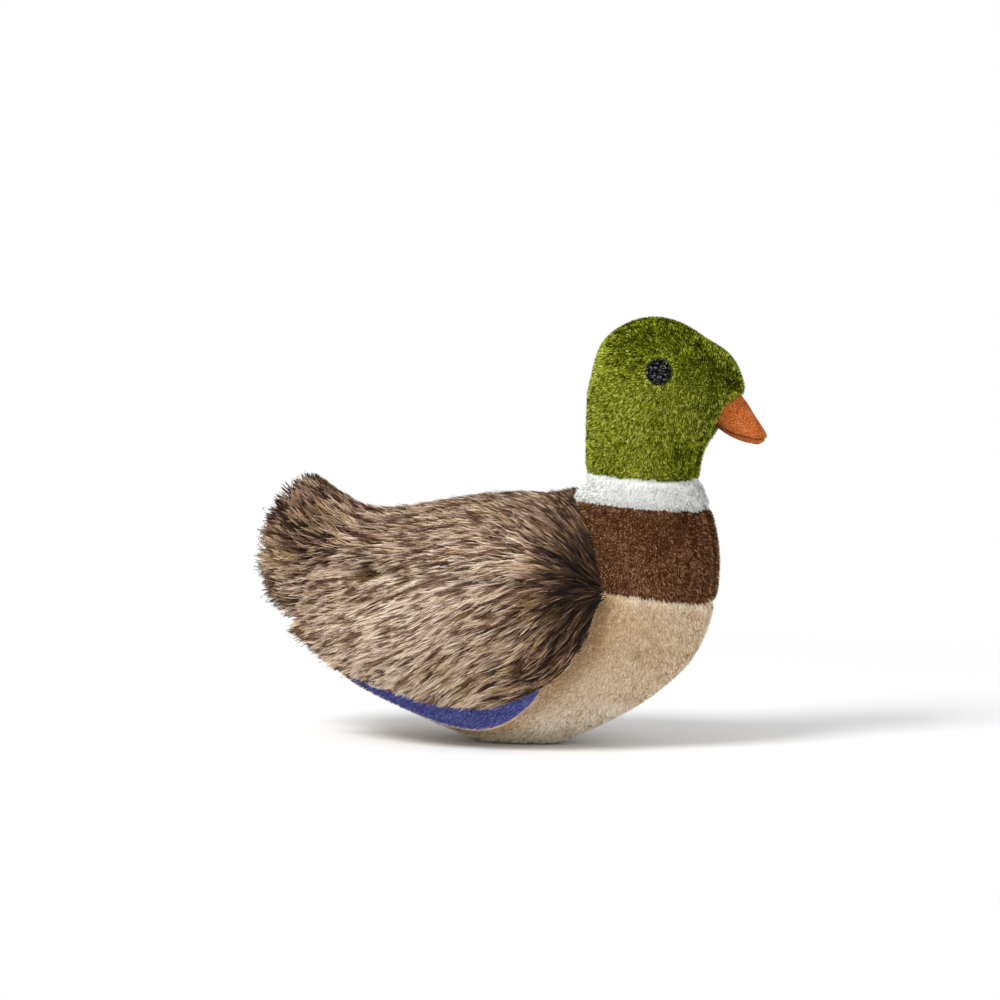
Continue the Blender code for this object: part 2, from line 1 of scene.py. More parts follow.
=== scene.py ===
"""Plush duck: plush and fur over a stuffed form, a suede beak, thread eyes and two lifting wings.

Every length below is in millimetres, in the frame's axes: X from tail to beak, Y to the duck's left, Z up.
"""

import logging
import math
from collections.abc import Callable, Sequence
from dataclasses import dataclass, field
from enum import Enum

import bpy
import numpy as np
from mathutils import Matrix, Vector
from mathutils.bvhtree import BVHTree
from mathutils.kdtree import KDTree


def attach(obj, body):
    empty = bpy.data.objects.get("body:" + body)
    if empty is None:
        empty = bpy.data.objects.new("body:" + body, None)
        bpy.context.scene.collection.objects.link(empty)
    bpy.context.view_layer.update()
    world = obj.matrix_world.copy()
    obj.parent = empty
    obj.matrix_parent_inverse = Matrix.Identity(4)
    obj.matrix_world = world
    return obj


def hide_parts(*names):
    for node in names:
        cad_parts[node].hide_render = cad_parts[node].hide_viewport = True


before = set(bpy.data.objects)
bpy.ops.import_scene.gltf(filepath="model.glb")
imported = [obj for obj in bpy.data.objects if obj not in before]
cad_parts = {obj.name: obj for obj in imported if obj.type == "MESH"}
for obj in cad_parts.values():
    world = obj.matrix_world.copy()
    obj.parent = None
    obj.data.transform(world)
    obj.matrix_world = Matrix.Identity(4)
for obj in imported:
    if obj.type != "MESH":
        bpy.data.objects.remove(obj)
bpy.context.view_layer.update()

Array = np.ndarray
Colour = tuple[float, float, float]
Socket = bpy.types.NodeSocket
log = logging.getLogger("plush_duck")

UNIT = 0.001
TINY = 1e-9
STRAND_MAP = "OFBake"
WARM_SHIFT = 0.5
STRAND_FLOOR = 0.03
CLOTH_FLOOR = 0.2
FACING_SHARE = 0.6
FAR_OUT = 200.0
NOISE_CELLS = 32
NOISE_SHIFT = 1000.0
TONE_REACH = 8.0

# The roughness and the mirroring of plain cloth
DULL = (0.9, 0.1)

# Where each piece's chance starts
PILE_SEED = 100
STRAND_SEED = 200
BACK_SEED = 31
TAIL_SEED = 41
WING_SEEDS = {"left": 51, "right": 61}
EYE_SEED = 81

# The stuffed form, in the same shares as the CAD: (x, z) of the back or top, (x, z) of the belly or front,
# the width, and how deep the seam down the front is.
BODY_SIZE = (180.0, 96.0, 74.0)
HEAD_SIZE = (60.0, 64.0, 48.0)
BEAK_SIZE = (24.0, 16.0, 15.0)
MIDDLE_X = 0.36
FLAT_DEPTH = 0.5
PRESS_HEIGHT = 4.0
TAIL_TIP = (-0.571, 0.785)
BODY = (
    ((-0.545, 0.935), (-0.560, 0.630), 0.14, 0.0),
    ((-0.505, 1.035), (-0.538, 0.550), 0.24, 0.0),
    ((-0.450, 1.085), (-0.500, 0.500), 0.34, 0.0),
    ((-0.405, 1.040), (-0.455, 0.440), 0.45, 0.0),
    ((-0.360, 0.990), (-0.403, 0.375), 0.56, 0.0),
    ((-0.305, 0.968), (-0.340, 0.275), 0.70, 0.0),
    ((-0.235, 0.977), (-0.262, 0.165), 0.84, 0.0),
    ((-0.160, 1.005), (-0.165, 0.068), 0.93, 0.0),
    ((-0.085, 1.028), (-0.062, 0.0105), 0.985, 0.0),
    ((-0.004, 1.043), (0.038, 0.000), 1.00, 0.0),
    ((0.060, 1.048), (0.122, 0.020), 0.99, 0.1),
    ((0.104, 1.054), (0.210, 0.084), 0.97, 0.3),
    ((0.133, 1.064), (0.317, 0.206), 0.93, 0.6),
    ((0.152, 1.073), (0.409, 0.377), 0.86, 0.9),
    ((0.163, 1.086), (0.456, 0.608), 0.77, 1.0),
    ((0.170, 1.099), (0.464, 0.827), 0.67, 1.0),
    ((0.175, 1.112), (0.446, 0.993), 0.60, 1.0),
)
NECK_FOOT = (0.300, 1.121)
HEAD = (
    ((-0.39, 0.00), (0.37, 0.00), 0.86, 1.0),
    ((-0.39, 0.12), (0.39, 0.15), 0.86, 1.0),
    ((-0.39, 0.28), (0.48, 0.29), 0.90, 1.0),
    ((-0.385, 0.41), (0.60, 0.46), 0.96, 0.5),
    ((-0.38, 0.51), (0.67, 0.56), 0.99, 0.0),
    ((-0.36, 0.60), (0.645, 0.66), 1.00, 0.0),
    ((-0.325, 0.73), (0.57, 0.77), 0.96, 0.0),
    ((-0.265, 0.85), (0.405, 0.87), 0.79, 0.0),
    ((-0.15, 0.94), (0.27, 0.95), 0.50, 0.0),
)
CROWN = (0.06, 0.995)

# Seam lines seen from the side, in shares of the body's length and height
COLLAR_TOP = ((0.05, 1.158), (0.60, 1.100))
COLLAR_FOOT = ((0.05, 1.062), (0.60, 0.976))
SHOULDER = (0.255, 0.677)
CHEST_BACK = ((0.120, 1.140), (0.165, 1.030), (0.205, 0.940), (0.232, 0.825), (0.250, 0.725), SHOULDER)
CHEST_FOOT = (SHOULDER, (0.350, 0.648), (0.470, 0.603), (0.560, 0.573))
WING_CORNER = (-0.417, 0.727)
TAIL_TOP = ((-0.280, 1.120), (-0.304, 0.966), (-0.350, 0.860), WING_CORNER)
TAIL_FOOT = ((-0.470, 0.580), (-0.540, 0.380))
FUR_FRAME = ((-0.90, 0.38), (-0.90, 1.60), (0.120, 1.60))
TAIL_FRAME = ((-0.90, 0.38), (-0.90, 1.60), (-0.280, 1.60))

# The beak's sections and seam, in shares of its own length and height from its foot on the head
BEAK_FOOT = (0.485, 0.378)
BEAK = (
    ((0.27, 0.74), (-0.15, 0.03), 0.98),
    ((0.41, 0.57), (-0.02, -0.17), 1.00),
    ((0.53, 0.35), (0.17, -0.39), 0.96),
    ((0.62, 0.13), (0.40, -0.55), 0.86),
    ((0.72, -0.09), (0.59, -0.62), 0.72),
    ((0.81, -0.29), (0.74, -0.63), 0.50),
)
BEAK_TIP = (0.85, -0.47)
BEAK_SEAM = ((-0.40, 0.10), (0.02, -0.15), (0.34, -0.38), (0.65, -0.50), (1.00, -0.53))
EYE_PLACE = (0.191, 0.679)

# Where the pile hangs over the beak's foot, in shares of the head, and which way it falls there
BROW = (0.66, 0.50)
BROW_FALL = (0.6, 0.0, -0.8)

# The wing's outer edge from shoulder to tip, and the share of each column at which the blue band starts
WING_EDGE = (
    (0.245, 0.615), (0.234, 0.540), (0.215, 0.455), (0.178, 0.360), (0.128, 0.270), (0.078, 0.170),
    (0.020, 0.100), (-0.040, 0.075), (-0.095, 0.083), (-0.150, 0.110), (-0.215, 0.155), (-0.278, 0.202),
    (-0.338, 0.258), (-0.394, 0.330), (-0.450, 0.398), (-0.495, 0.460),
)
WING_FOLD = (
    1.00, 1.00, 1.00, 1.00, 0.98, 0.90, 0.845, 0.82,
    0.83, 0.845, 0.865, 0.895, 0.94, 0.99, 1.00, 1.00,
)
WING_REAR = (-0.34, 0.50)
WING_SHARES = np.linspace(0.0, 1.0, 60)
BAND_LEAN = (-0.9, 0.0, -0.4)

# Which way the fur runs, seen from the side: (x, z) in millimetres and the direction there
FUR_FLOW = (
    (39.1, 76.1, -0.50, 0.86), (32.3, 91.9, -0.60, 0.80), (24.5, 99.2, -0.70, 0.70),
    (7.4, 98.7, -0.93, 0.35),
    (-10.5, 97.8, -1.00, 0.05), (-31.2, 93.3, -1.00, -0.05), (-47.8, 91.0, -0.98, 0.15),
    (-61.0, 94.4, -0.80, 0.60), (-71.9, 100.0, -0.55, 0.83), (-84.0, 97.0, -0.70, 0.71),
    (-95.2, 79.3, -0.95, 0.30), (-92.6, 63.4, -1.00, -0.05), (-83.7, 48.4, -0.97, -0.25),
    (-65.0, 35.5, -0.90, -0.40), (-46.5, 58.5, -0.93, -0.35), (-70.7, 64.9, -0.97, -0.20),
    (-17.6, 75.3, -0.97, -0.22), (-15.7, 51.8, -0.85, -0.50), (-16.2, 27.5, -0.80, -0.60),
    (12.2, 22.0, -0.95, -0.25), (24.2, 47.2, -0.70, -0.70), (36.3, 52.4, -0.50, -0.86),
    (28.3, 64.3, -0.90, -0.30), (4.0, 64.0, -0.93, -0.37), (23.6, 76.1, -0.95, 0.10),
    (27.2, 82.0, -0.80, 0.60),
)
# How light the fur is there, as a share of its ramp, how streaked it is, and how golden
# The lightness is partly the fur's own tone and partly painted shade: darker at the shoulder's crease, along
# the wing's front edge near it and on the tail.
FUR_TONE_AND_SHADE = (
    (41.6, 76.2, 0.12, 0.5, 0.4), (33.9, 66.3, 0.10, 0.5, 0.3), (20.0, 66.2, 0.30, 0.8, 0.4),
    (36.0, 82.0, 0.10, 0.5, 0.4), (30.0, 52.5, 0.14, 0.7, 0.4), (22.0, 44.0, 0.34, 1.0, 0.4),
    (13.3, 44.4, 0.52, 1.0, 0.2), (0.0, 60.0, 0.64, 1.0, 0.05), (-14.0, 62.0, 0.66, 1.0, 0.05),
    (-28.6, 51.3, 0.66, 1.0, 0.05), (-16.8, 23.3, 0.58, 1.0, 0.3), (-38.0, 30.7, 0.66, 1.0, 0.1),
    (7.4, 96.6, 0.50, 0.9, 0.2), (-22.9, 93.5, 0.56, 0.9, 0.15), (-51.1, 89.1, 0.54, 0.9, 0.15),
    (-66.0, 98.0, 0.50, 0.9, 0.2), (-82.0, 84.0, 0.26, 1.1, 0.5), (-90.0, 92.0, 0.30, 1.0, 0.4),
    (-99.0, 72.0, 0.52, 0.6, 0.2), (-90.0, 55.6, 0.56, 0.9, 0.1), (-65.0, 41.5, 0.64, 1.0, 0.1),
    (-61.6, 73.4, 0.56, 1.0, 0.1), (25.0, 90.0, 0.28, 0.8, 0.4), (8.0, 76.0, 0.62, 1.0, 0.2),
)
# Which way the short plush runs, and how light each plush is there
PLUSH_FLOW = (
    (70.0, 168.0, -1.00, -0.10), (45.0, 158.0, -0.60, -0.80), (88.0, 155.0, -0.80, 0.30),
    (66.0, 140.0, -0.70, -0.70), (86.0, 136.0, -0.90, -0.30), (80.0, 122.0, -0.50, -0.85),
    (36.0, 130.0, -0.20, -1.00), (55.0, 112.0, -0.15, -1.00), (60.0, 98.0, -0.10, -1.00),
    (70.0, 80.0, -0.20, -1.00), (50.0, 75.0, -0.30, -0.95), (75.0, 50.0, -0.45, -0.90),
    (50.0, 30.0, -0.70, -0.70), (30.0, 8.0, -0.95, -0.30), (-10.0, 4.0, -1.00, 0.00),
    (-50.0, 20.0, -0.90, 0.40),
)
# The green's lightness is partly its own tone and partly a painted sheen: darker on the crown where the nap
# faces the camera, lighter where it catches the light.
GREEN_TONE_AND_SHEEN = (
    (70.0, 168.0, 0.30), (52.0, 163.0, 0.26), (38.0, 152.0, 0.56), (88.0, 150.0, 0.50), (78.0, 160.0, 0.38),
    (60.0, 158.0, 0.28), (76.0, 146.0, 0.48), (68.0, 134.0, 0.62), (80.0, 134.0, 0.54), (54.0, 138.0, 0.60),
    (36.0, 132.0, 0.56), (66.0, 122.0, 0.62), (74.0, 118.0, 0.34), (46.0, 116.0, 0.56), (62.0, 110.0, 0.56),
)
# The cream's lightness is partly its own tone and partly painted light and shade: darker up by the wings'
# front edge, lighter low down where the floor lights it.
CREAM_TONE_LIGHT_AND_SHADE = (
    (60.0, 55.0, 0.44), (72.0, 56.0, 0.60), (48.0, 50.0, 0.36), (62.0, 35.0, 0.52), (40.0, 28.0, 0.60),
    (52.0, 22.0, 0.64), (45.0, 12.0, 0.96), (10.0, 4.0, 1.00), (-40.0, 14.0, 0.90), (-60.0, 30.0, 0.70),
)
# The white's lightness is painted shade: darker towards the collar's front, away from the light.
WHITE_TONE_AND_SHADE = ((34.0, 101.0, 0.80), (60.0, 98.0, 0.76), (76.0, 94.0, 0.68), (84.0, 92.0, 0.60))
BROWN_TONE = ((60.0, 75.0, 0.58), (45.0, 62.0, 0.50), (78.0, 75.0, 0.52), (70.0, 90.0, 0.44))
BLUE_TONE = ((0.0, 12.0, 0.62), (28.0, 24.0, 0.66), (-50.0, 24.0, 0.55))


class Slot(Enum):
    """The material slots."""

    GREEN = "green_plush"
    WHITE = "white_plush"
    BROWN = "brown_plush"
    CREAM = "cream_plush"
    FUR = "mottled_fur"
    BLUE = "blue_plush"
    SUEDE = "orange_suede"
    THREAD = "black_thread"


class Named(Enum):
    """A choice whose name is a word in the names of pieces."""

    @property
    def word(self) -> str:
        """Returns the word."""
        return self.name.lower()


class Side(Named):
    """The duck's two sides, with the sign of Y there."""

    LEFT = 1
    RIGHT = -1


class Region(Named):
    """The sewn regions of the trunk."""

    HEAD = 0
    COLLAR = 1
    CHEST = 2
    BELLY = 3
    BACK = 4
    TAIL = 5


def body_place(share: Sequence[float]) -> Array:
    """Returns the (x, z) place of a share of the body's length and height."""
    return np.array([share[0] * BODY_SIZE[0] - MIDDLE_X, share[1] * BODY_SIZE[1] - FLAT_DEPTH])


def head_place(share: Sequence[float]) -> Array:
    """Returns the (x, z) place of a share of the head's length and height."""
    return body_place(NECK_FOOT) + np.array([share[0] * HEAD_SIZE[0], share[1] * HEAD_SIZE[1]])


def beak_place(share: Sequence[float]) -> Array:
    """Returns the (x, z) place of a share of the beak's length and height."""
    return head_place(BEAK_FOOT) + np.array([share[0] * BEAK_SIZE[0], share[1] * BEAK_SIZE[1]])


def line_of(shares: Sequence[Sequence[float]]) -> Array:
    """Returns a seam line's (x, z) points."""
    return np.array([body_place(share) for share in shares])


def flat_of(points: Array) -> Array:
    """Returns the (x, z) places of points of space."""
    return points[:, [0, 2]]


def in_middle(places: Array) -> Array:
    """Returns the points of the middle plane at (x, z) places."""
    return np.insert(places, 1, 0.0, axis=1)


def turns(count: int) -> Array:
    """Returns evenly spaced angles round a whole turn."""
    return np.linspace(0.0, 2.0 * math.pi, count, endpoint=False)


def unit(vectors: Array) -> Array:
    """Returns the vectors at length 1."""
    return vectors / np.maximum(np.linalg.norm(vectors, axis=-1, keepdims=True), TINY)


def smooth(value: Array) -> Array:
    """Returns a value held to 0 to 1, with soft ends."""
    held = np.clip(value, 0.0, 1.0)
    return held * held * (3.0 - 2.0 * held)


def bell(away: Array, width: float) -> Array:
    """Returns 1 where the distance away is nothing, sinking softly to 0 over a few widths."""
    return np.exp(-((away / width) ** 2))


def tangent_of(directions: Array, normals: Array) -> Array:
    """Returns the directions laid flat on the surfaces that have these normals."""
    return unit(directions - normals * np.sum(directions * normals, axis=-1, keepdims=True))


def everywhere(direction: Sequence[float], normals: Array) -> Array:
    """Returns one direction laid flat on each of the surfaces that have these normals."""
    return tangent_of(np.broadcast_to(np.array(direction), normals.shape), normals)


def spun(vectors: Array, axes: Array, turn: Array) -> Array:
    """Returns vectors turned by an angle each about axes that stand square to them."""
    return vectors * np.cos(turn) + np.cross(axes, vectors) * np.sin(turn)


def risen(normals: Array, lean: Array, lift: Array) -> Array:
    """Returns the directions of strands that lift by an angle each from the way they lean."""
    return normals * np.sin(lift) + lean * np.cos(lift)


def straight(roots: Array, rise: Array, length: Array) -> Array:
    """Returns the two-point spines of straight strands."""
    step = np.linspace(0.0, 1.0, 2)[None, :, None]
    return roots[:, None, :] + rise[:, None, :] * length[:, None, None] * step


def flowing(knots: Array, values: Array, at: Array) -> Array:
    """Runs a smooth curve through values at knots.

    Args:
        knots: rising places of the values, N of them.
        values: N rows of numbers.
        at: the places where the curve is wanted.

    Returns:
        One row of numbers for each wanted place.
    """
    steps = np.diff(knots)[:, None]
    secants = np.diff(values, axis=0) / steps
    slopes = np.empty_like(values)
    slopes[1:-1] = (secants[:-1] * steps[1:] + secants[1:] * steps[:-1]) / (steps[:-1] + steps[1:])
    slopes[0], slopes[-1] = secants[0], secants[-1]
    first = np.clip(np.searchsorted(knots, at, "right") - 1, 0, len(steps) - 1)
    step = steps[first]
    t = (at - knots[first])[:, None] / step
    start = (1 + 2 * t) * (1 - t) ** 2 * values[first] + t * (1 - t) ** 2 * step * slopes[first]
    end = t * t * (3 - 2 * t) * values[first + 1] + t * t * (t - 1) * step * slopes[first + 1]
    return start + end


def inside(places: Array, outline: Array) -> Array:
    """Tells which places lie inside a closed outline.

    Args:
        places: the (x, z) places.
        outline: the outline's (x, z) points, in order.

    Returns:
        Whether each place lies inside.
    """
    result = np.zeros(len(places), bool)
    for a, b in zip(outline, np.roll(outline, -1, axis=0)):
        crosses = (a[1] > places[:, 1]) != (b[1] > places[:, 1])
        rise = b[1] - a[1] if abs(b[1] - a[1]) > TINY else TINY
        result ^= crosses & (places[:, 0] < (b[0] - a[0]) * (places[:, 1] - a[1]) / rise + a[0])
    return result


def away_from(places: Array, line: Array) -> Array:
    """Measures how far places are from a line.

    Args:
        places: the (x, z) places.
        line: the line's (x, z) points, in order.

    Returns:
        The distance of each place from the nearest point of the line.
    """
    nearest = np.full(len(places), np.inf)
    for a, b in zip(line, line[1:]):
        along = np.clip(((places - a) @ (b - a)) / ((b - a) @ (b - a)), 0.0, 1.0)
        nearest = np.minimum(nearest, np.linalg.norm(places - a - along[:, None] * (b - a), axis=1))
    return nearest


def within(places: Array, outline: Array, edge: Array) -> Array:
    """Returns how far each (x, z) place is from an outline's edge, below 0 where it is outside."""
    away = away_from(places, edge)
    return np.where(inside(places, outline), away, -away)


def room_ahead(places: Array, headings: Array, outline: Array, longest: int) -> Array:
    """Measures how far one can go inside an outline.

    Args:
        places: the (x, z) places to start from.
        headings: the (x, z) directions.
        outline: the closed outline.
        longest: the most whole millimetres that are looked at.

    Returns:
        The millimetres that stay inside, for each place.
    """
    room, still = np.zeros(len(places)), np.ones(len(places), bool)
    for step in range(1, longest + 1):
        still &= inside(places + headings * step, outline)
        room[still] = step
    return room


def mottle(points: Array, size: float, seed: int) -> Array:
    """Makes smooth noise in space.

    Args:
        points: the places where it is wanted.
        size: the distance from one bump to the next.
        seed: which noise.

    Returns:
        One number from -1 to 1 for each point.
    """
    lattice = np.random.default_rng(seed).random((NOISE_CELLS,) * 3) * 2.0 - 1.0
    scaled = points / size + NOISE_SHIFT
    cell = np.floor(scaled).astype(int)
    t = smooth(scaled - cell)
    total = np.zeros(len(points))
    for corner in np.ndindex(2, 2, 2):
        weight = np.prod([t[:, k] if corner[k] else 1.0 - t[:, k] for k in range(3)], axis=0)
        i, j, k = ((cell[:, axis] + corner[axis]) % NOISE_CELLS for axis in range(3))
        total += weight * lattice[i, j, k]
    return total


@dataclass(frozen=True)
class Hints:
    """Values given at places seen from the side, blended in between."""

    rows: tuple[tuple[float, ...], ...]
    reach: float = 6.0

    def at(self, points: Array) -> Array:
        """Blends the values.

        Args:
            points: the points of space where they are wanted.

        Returns:
            One row of values for each point.
        """
        table = np.array(self.rows)
        apart = ((flat_of(points)[:, None, :] - table[None, :, :2]) ** 2).sum(axis=2)
        weight = 1.0 / (apart + self.reach ** 2) ** 2
        return (weight[:, :, None] * table[None, :, 2:]).sum(axis=1) / weight.sum(axis=1)[:, None]

    def directions(self, points: Array) -> Array:
        """Returns the blended (x, z) directions at points as vectors in space."""
        return unit(in_middle(self.at(points)))


FUR_RUNS = Hints(FUR_FLOW)
PLUSH_RUNS = Hints(PLUSH_FLOW, 10.0)


@dataclass
class Surface:
    """A surface of triangles with a normal at each point."""

    points: Array
    faces: Array
    normals: Array

    @classmethod
    def facing_out(cls, points: Array, faces: Array) -> "Surface":
        """Makes a surface that goes round a form.

        Args:
            points: its points.
            faces: its triangles, which all turn the same way.

        Returns:
            The surface, with normals that point away from its middle.
        """
        normals = normals_of(points, faces)
        if np.sum(normals * (points - points.mean(axis=0))) < 0:
            faces, normals = faces[:, ::-1], -normals
        return cls(points, faces, normals)

    def part(self, chosen: Array) -> "Surface":
        """Returns the surface with only the chosen faces."""
        used, faces = np.unique(self.faces[chosen], return_inverse=True)
        return Surface(self.points[used], faces.reshape(-1, 3), self.normals[used])

    def areas(self) -> Array:
        """Returns the area of each face."""
        a, b, c = (self.points[self.faces[:, k]] for k in range(3))
        return np.linalg.norm(np.cross(b - a, c - a), axis=1) / 2.0

    def room_for(self, density: float, each: int = 1) -> int:
        """Returns how many groups of strands fit on it at a density by the square millimetre."""
        return int(self.areas().sum() * density / each)

    def scatter(self, count: int, rng: np.random.Generator) -> tuple[Array, Array]:
        """Spreads places evenly over the surface.

        Args:
            count: how many places.
            rng: the source of chance.

        Returns:
            The places and the normals there.
        """
        ends = np.cumsum(self.areas())
        chosen = np.searchsorted(ends, (np.arange(count) + rng.random(count)) / count * ends[-1])
        face = self.faces[np.minimum(chosen, len(ends) - 1)]
        a, b = rng.random((2, count))
        over = a + b > 1.0
        a[over], b[over] = 1.0 - a[over], 1.0 - b[over]
        share = np.stack([1.0 - a - b, a, b], axis=1)[:, :, None]
        return (self.points[face] * share).sum(axis=1), unit((self.normals[face] * share).sum(axis=1))

    def shell(self, thickness: float) -> tuple[Array, Array]:
        """Makes a closed cloth whose outer side is this surface.

        Args:
            thickness: the cloth's thickness.

        Returns:
            The cloth's points, outer side first, and its triangles.
        """
        count = len(self.points)
        edges = np.concatenate([self.faces[:, [0, 1]], self.faces[:, [1, 2]], self.faces[:, [2, 0]]])
        keys = np.sort(edges, axis=1)
        _, index, uses = np.unique(keys, axis=0, return_index=True, return_counts=True)
        rim = edges[index[uses == 1]]
        walls = np.concatenate([
            np.stack([rim[:, 1], rim[:, 0], rim[:, 0] + count], axis=1),
            np.stack([rim[:, 1], rim[:, 0] + count, rim[:, 1] + count], axis=1),
        ])
        points = np.concatenate([self.points, self.points - self.normals * thickness])
        return points, np.concatenate([self.faces, self.faces[:, ::-1] + count, walls])


def grid_faces(rows: int, columns: int, closed: bool) -> Array:
    """Returns the triangles of a grid of points.

    Args:
        rows: how many rows of points.
        columns: how many points in a row.
        closed: whether each row runs round to its own start.

    Returns:
        Three point numbers for each triangle.
    """
    across = columns if closed else columns - 1
    i, j = np.meshgrid(np.arange(rows - 1), np.arange(across), indexing="ij")
    i, j = i.ravel(), j.ravel()
    after = (j + 1) % columns
    a, b, c, d = i * columns + j, i * columns + after, (i + 1) * columns + after, (i + 1) * columns + j
    return np.concatenate([np.stack([a, b, c], axis=1), np.stack([a, c, d], axis=1)])


def fan(tip: int, first: int, around: int) -> Array:
    """Returns the triangles from a point to the ring of points that starts at a point number."""
    ring = np.arange(around)
    return np.stack([np.full(around, tip), first + ring, first + (ring + 1) % around], axis=1)


def normals_of(points: Array, faces: Array) -> Array:
    """Finds a surface's normals.

    Args:
        points: its points.
        faces: its triangles.

    Returns:
        The normal at each point, from the faces round it.
    """
    a, b, c = (points[faces[:, k]] for k in range(3))
    across = np.cross(b - a, c - a)
    total = np.zeros_like(points)
    for k in range(3):
        np.add.at(total, faces[:, k], across)
    return unit(total)


def capped(rows: Array, tail: Array, crown: Array) -> Array:
    """Adds rounded ends to the sections of a form.

    Args:
        rows: the sections: both (x, z) edges, the half width and the groove.
        tail: the (x, z) place of the first end.
        crown: the (x, z) place of the last end.

    Returns:
        The sections with a smaller one, a point and a turned one at each end.
    """
    ends = []
    for row, tip in ((rows[0], tail), (rows[-1], crown)):
        centre, half = (row[0:2] + row[2:4]) / 2, (row[0:2] - row[2:4]) / 2
        middle, small = (centre + tip) / 2, half * math.sqrt(0.5)
        cap = np.array([*(middle + small), *(middle - small), row[4] * math.sqrt(0.5), row[5]])
        point = np.array([*tip, *tip, 0.0, row[5]])
        turned = np.array([*cap[2:4], *cap[0:2], -cap[4], row[5]])
        ends.append([turned, point, cap])
    return np.array([*ends[0], *rows, *ends[1][::-1]])


def moves_of(table: Array) -> list[Array]:
    """Returns how far each of the two edges moves from one section to the next."""
    return [np.linalg.norm(np.diff(table[:, k:k + 2], axis=0), axis=1) for k in (0, 2)]


def knots_of(table: Array, least: float) -> Array:
    """Returns how far along a form each section lies, with a least step between them."""
    moves = moves_of(table)
    return np.concatenate([[0.0], np.cumsum(np.maximum((moves[0] + moves[1]) / 2, least))])


def rings_of(sections: Array, around: int) -> Array:
    """Lays a ring of points round each section of a form.

    Args:
        sections: the sections.
        around: how many points a ring has.

    Returns:
        The points, by ring and by place round it.
    """
    angle = turns(around)
    top, low = sections[:, None, 0:2], sections[:, None, 2:4]
    flat = (top + low) / 2 + (top - low) / 2 * np.cos(angle)[None, :, None]
    across = sections[:, None, 4] * np.sin(angle)[None, :]
    return np.stack([flat[:, :, 0], across, flat[:, :, 1]], axis=2)


def mesh_of(name: str, points: Array, faces: Array) -> bpy.types.Mesh:
    """Makes a mesh, shaded smooth.

    Args:
        name: its name.
        points: its points in millimetres.
        faces: the point numbers of its faces, which all have as many corners.

    Returns:
        The mesh.
    """
    mesh = bpy.data.meshes.new(name)
    mesh.vertices.add(len(points))
    mesh.vertices.foreach_set("co", (points * UNIT).astype(np.float32).ravel())
    mesh.loops.add(faces.size)
    mesh.loops.foreach_set("vertex_index", faces.astype(np.int32).ravel())
    mesh.polygons.add(len(faces))
    mesh.polygons.foreach_set("loop_start", np.arange(0, faces.size, faces.shape[1], dtype=np.int32))
    mesh.update(calc_edges=True)
    mesh.shade_smooth()
    return mesh


def add_object(name: str, data: bpy.types.ID) -> bpy.types.Object:
    """Adds a new object to the scene.

    Args:
        name: its name.
        data: its mesh, lamp or camera.

    Returns:
        The object.
    """
    made = bpy.data.objects.new(name, data)
    bpy.context.scene.collection.objects.link(made)
    return made


def make_piece(name: str, mesh: bpy.types.Mesh, material: bpy.types.Material) -> bpy.types.Object:
    """Adds a mesh to the scene as a piece in its finish.

    Args:
        name: the piece's name.
        mesh: its mesh.
        material: its material.

    Returns:
        The new object.
    """
    mesh.materials.append(material)
    piece = add_object(name, mesh)
    log.info("%s: %d faces", name, len(mesh.polygons))
    return piece


def hang(piece: bpy.types.Object, body: str, fill: float, *stands_for: str) -> None:
    """Hangs a stuffed or piled piece on a body.

    Args:
        piece: the piece.
        body: the body that it moves with.
        fill: how full it is; not used.
        stands_for: the CAD nodes that it replaces.
    """
    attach(piece, body)
    if stands_for:
        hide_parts(*stands_for)


def linear(value: float) -> float:
    """Returns the linear strength of a screen value from 0 to 255."""
    share = value / 255.0
    return share / 12.92 if share <= 0.04045 else ((share + 0.055) / 1.055) ** 2.4


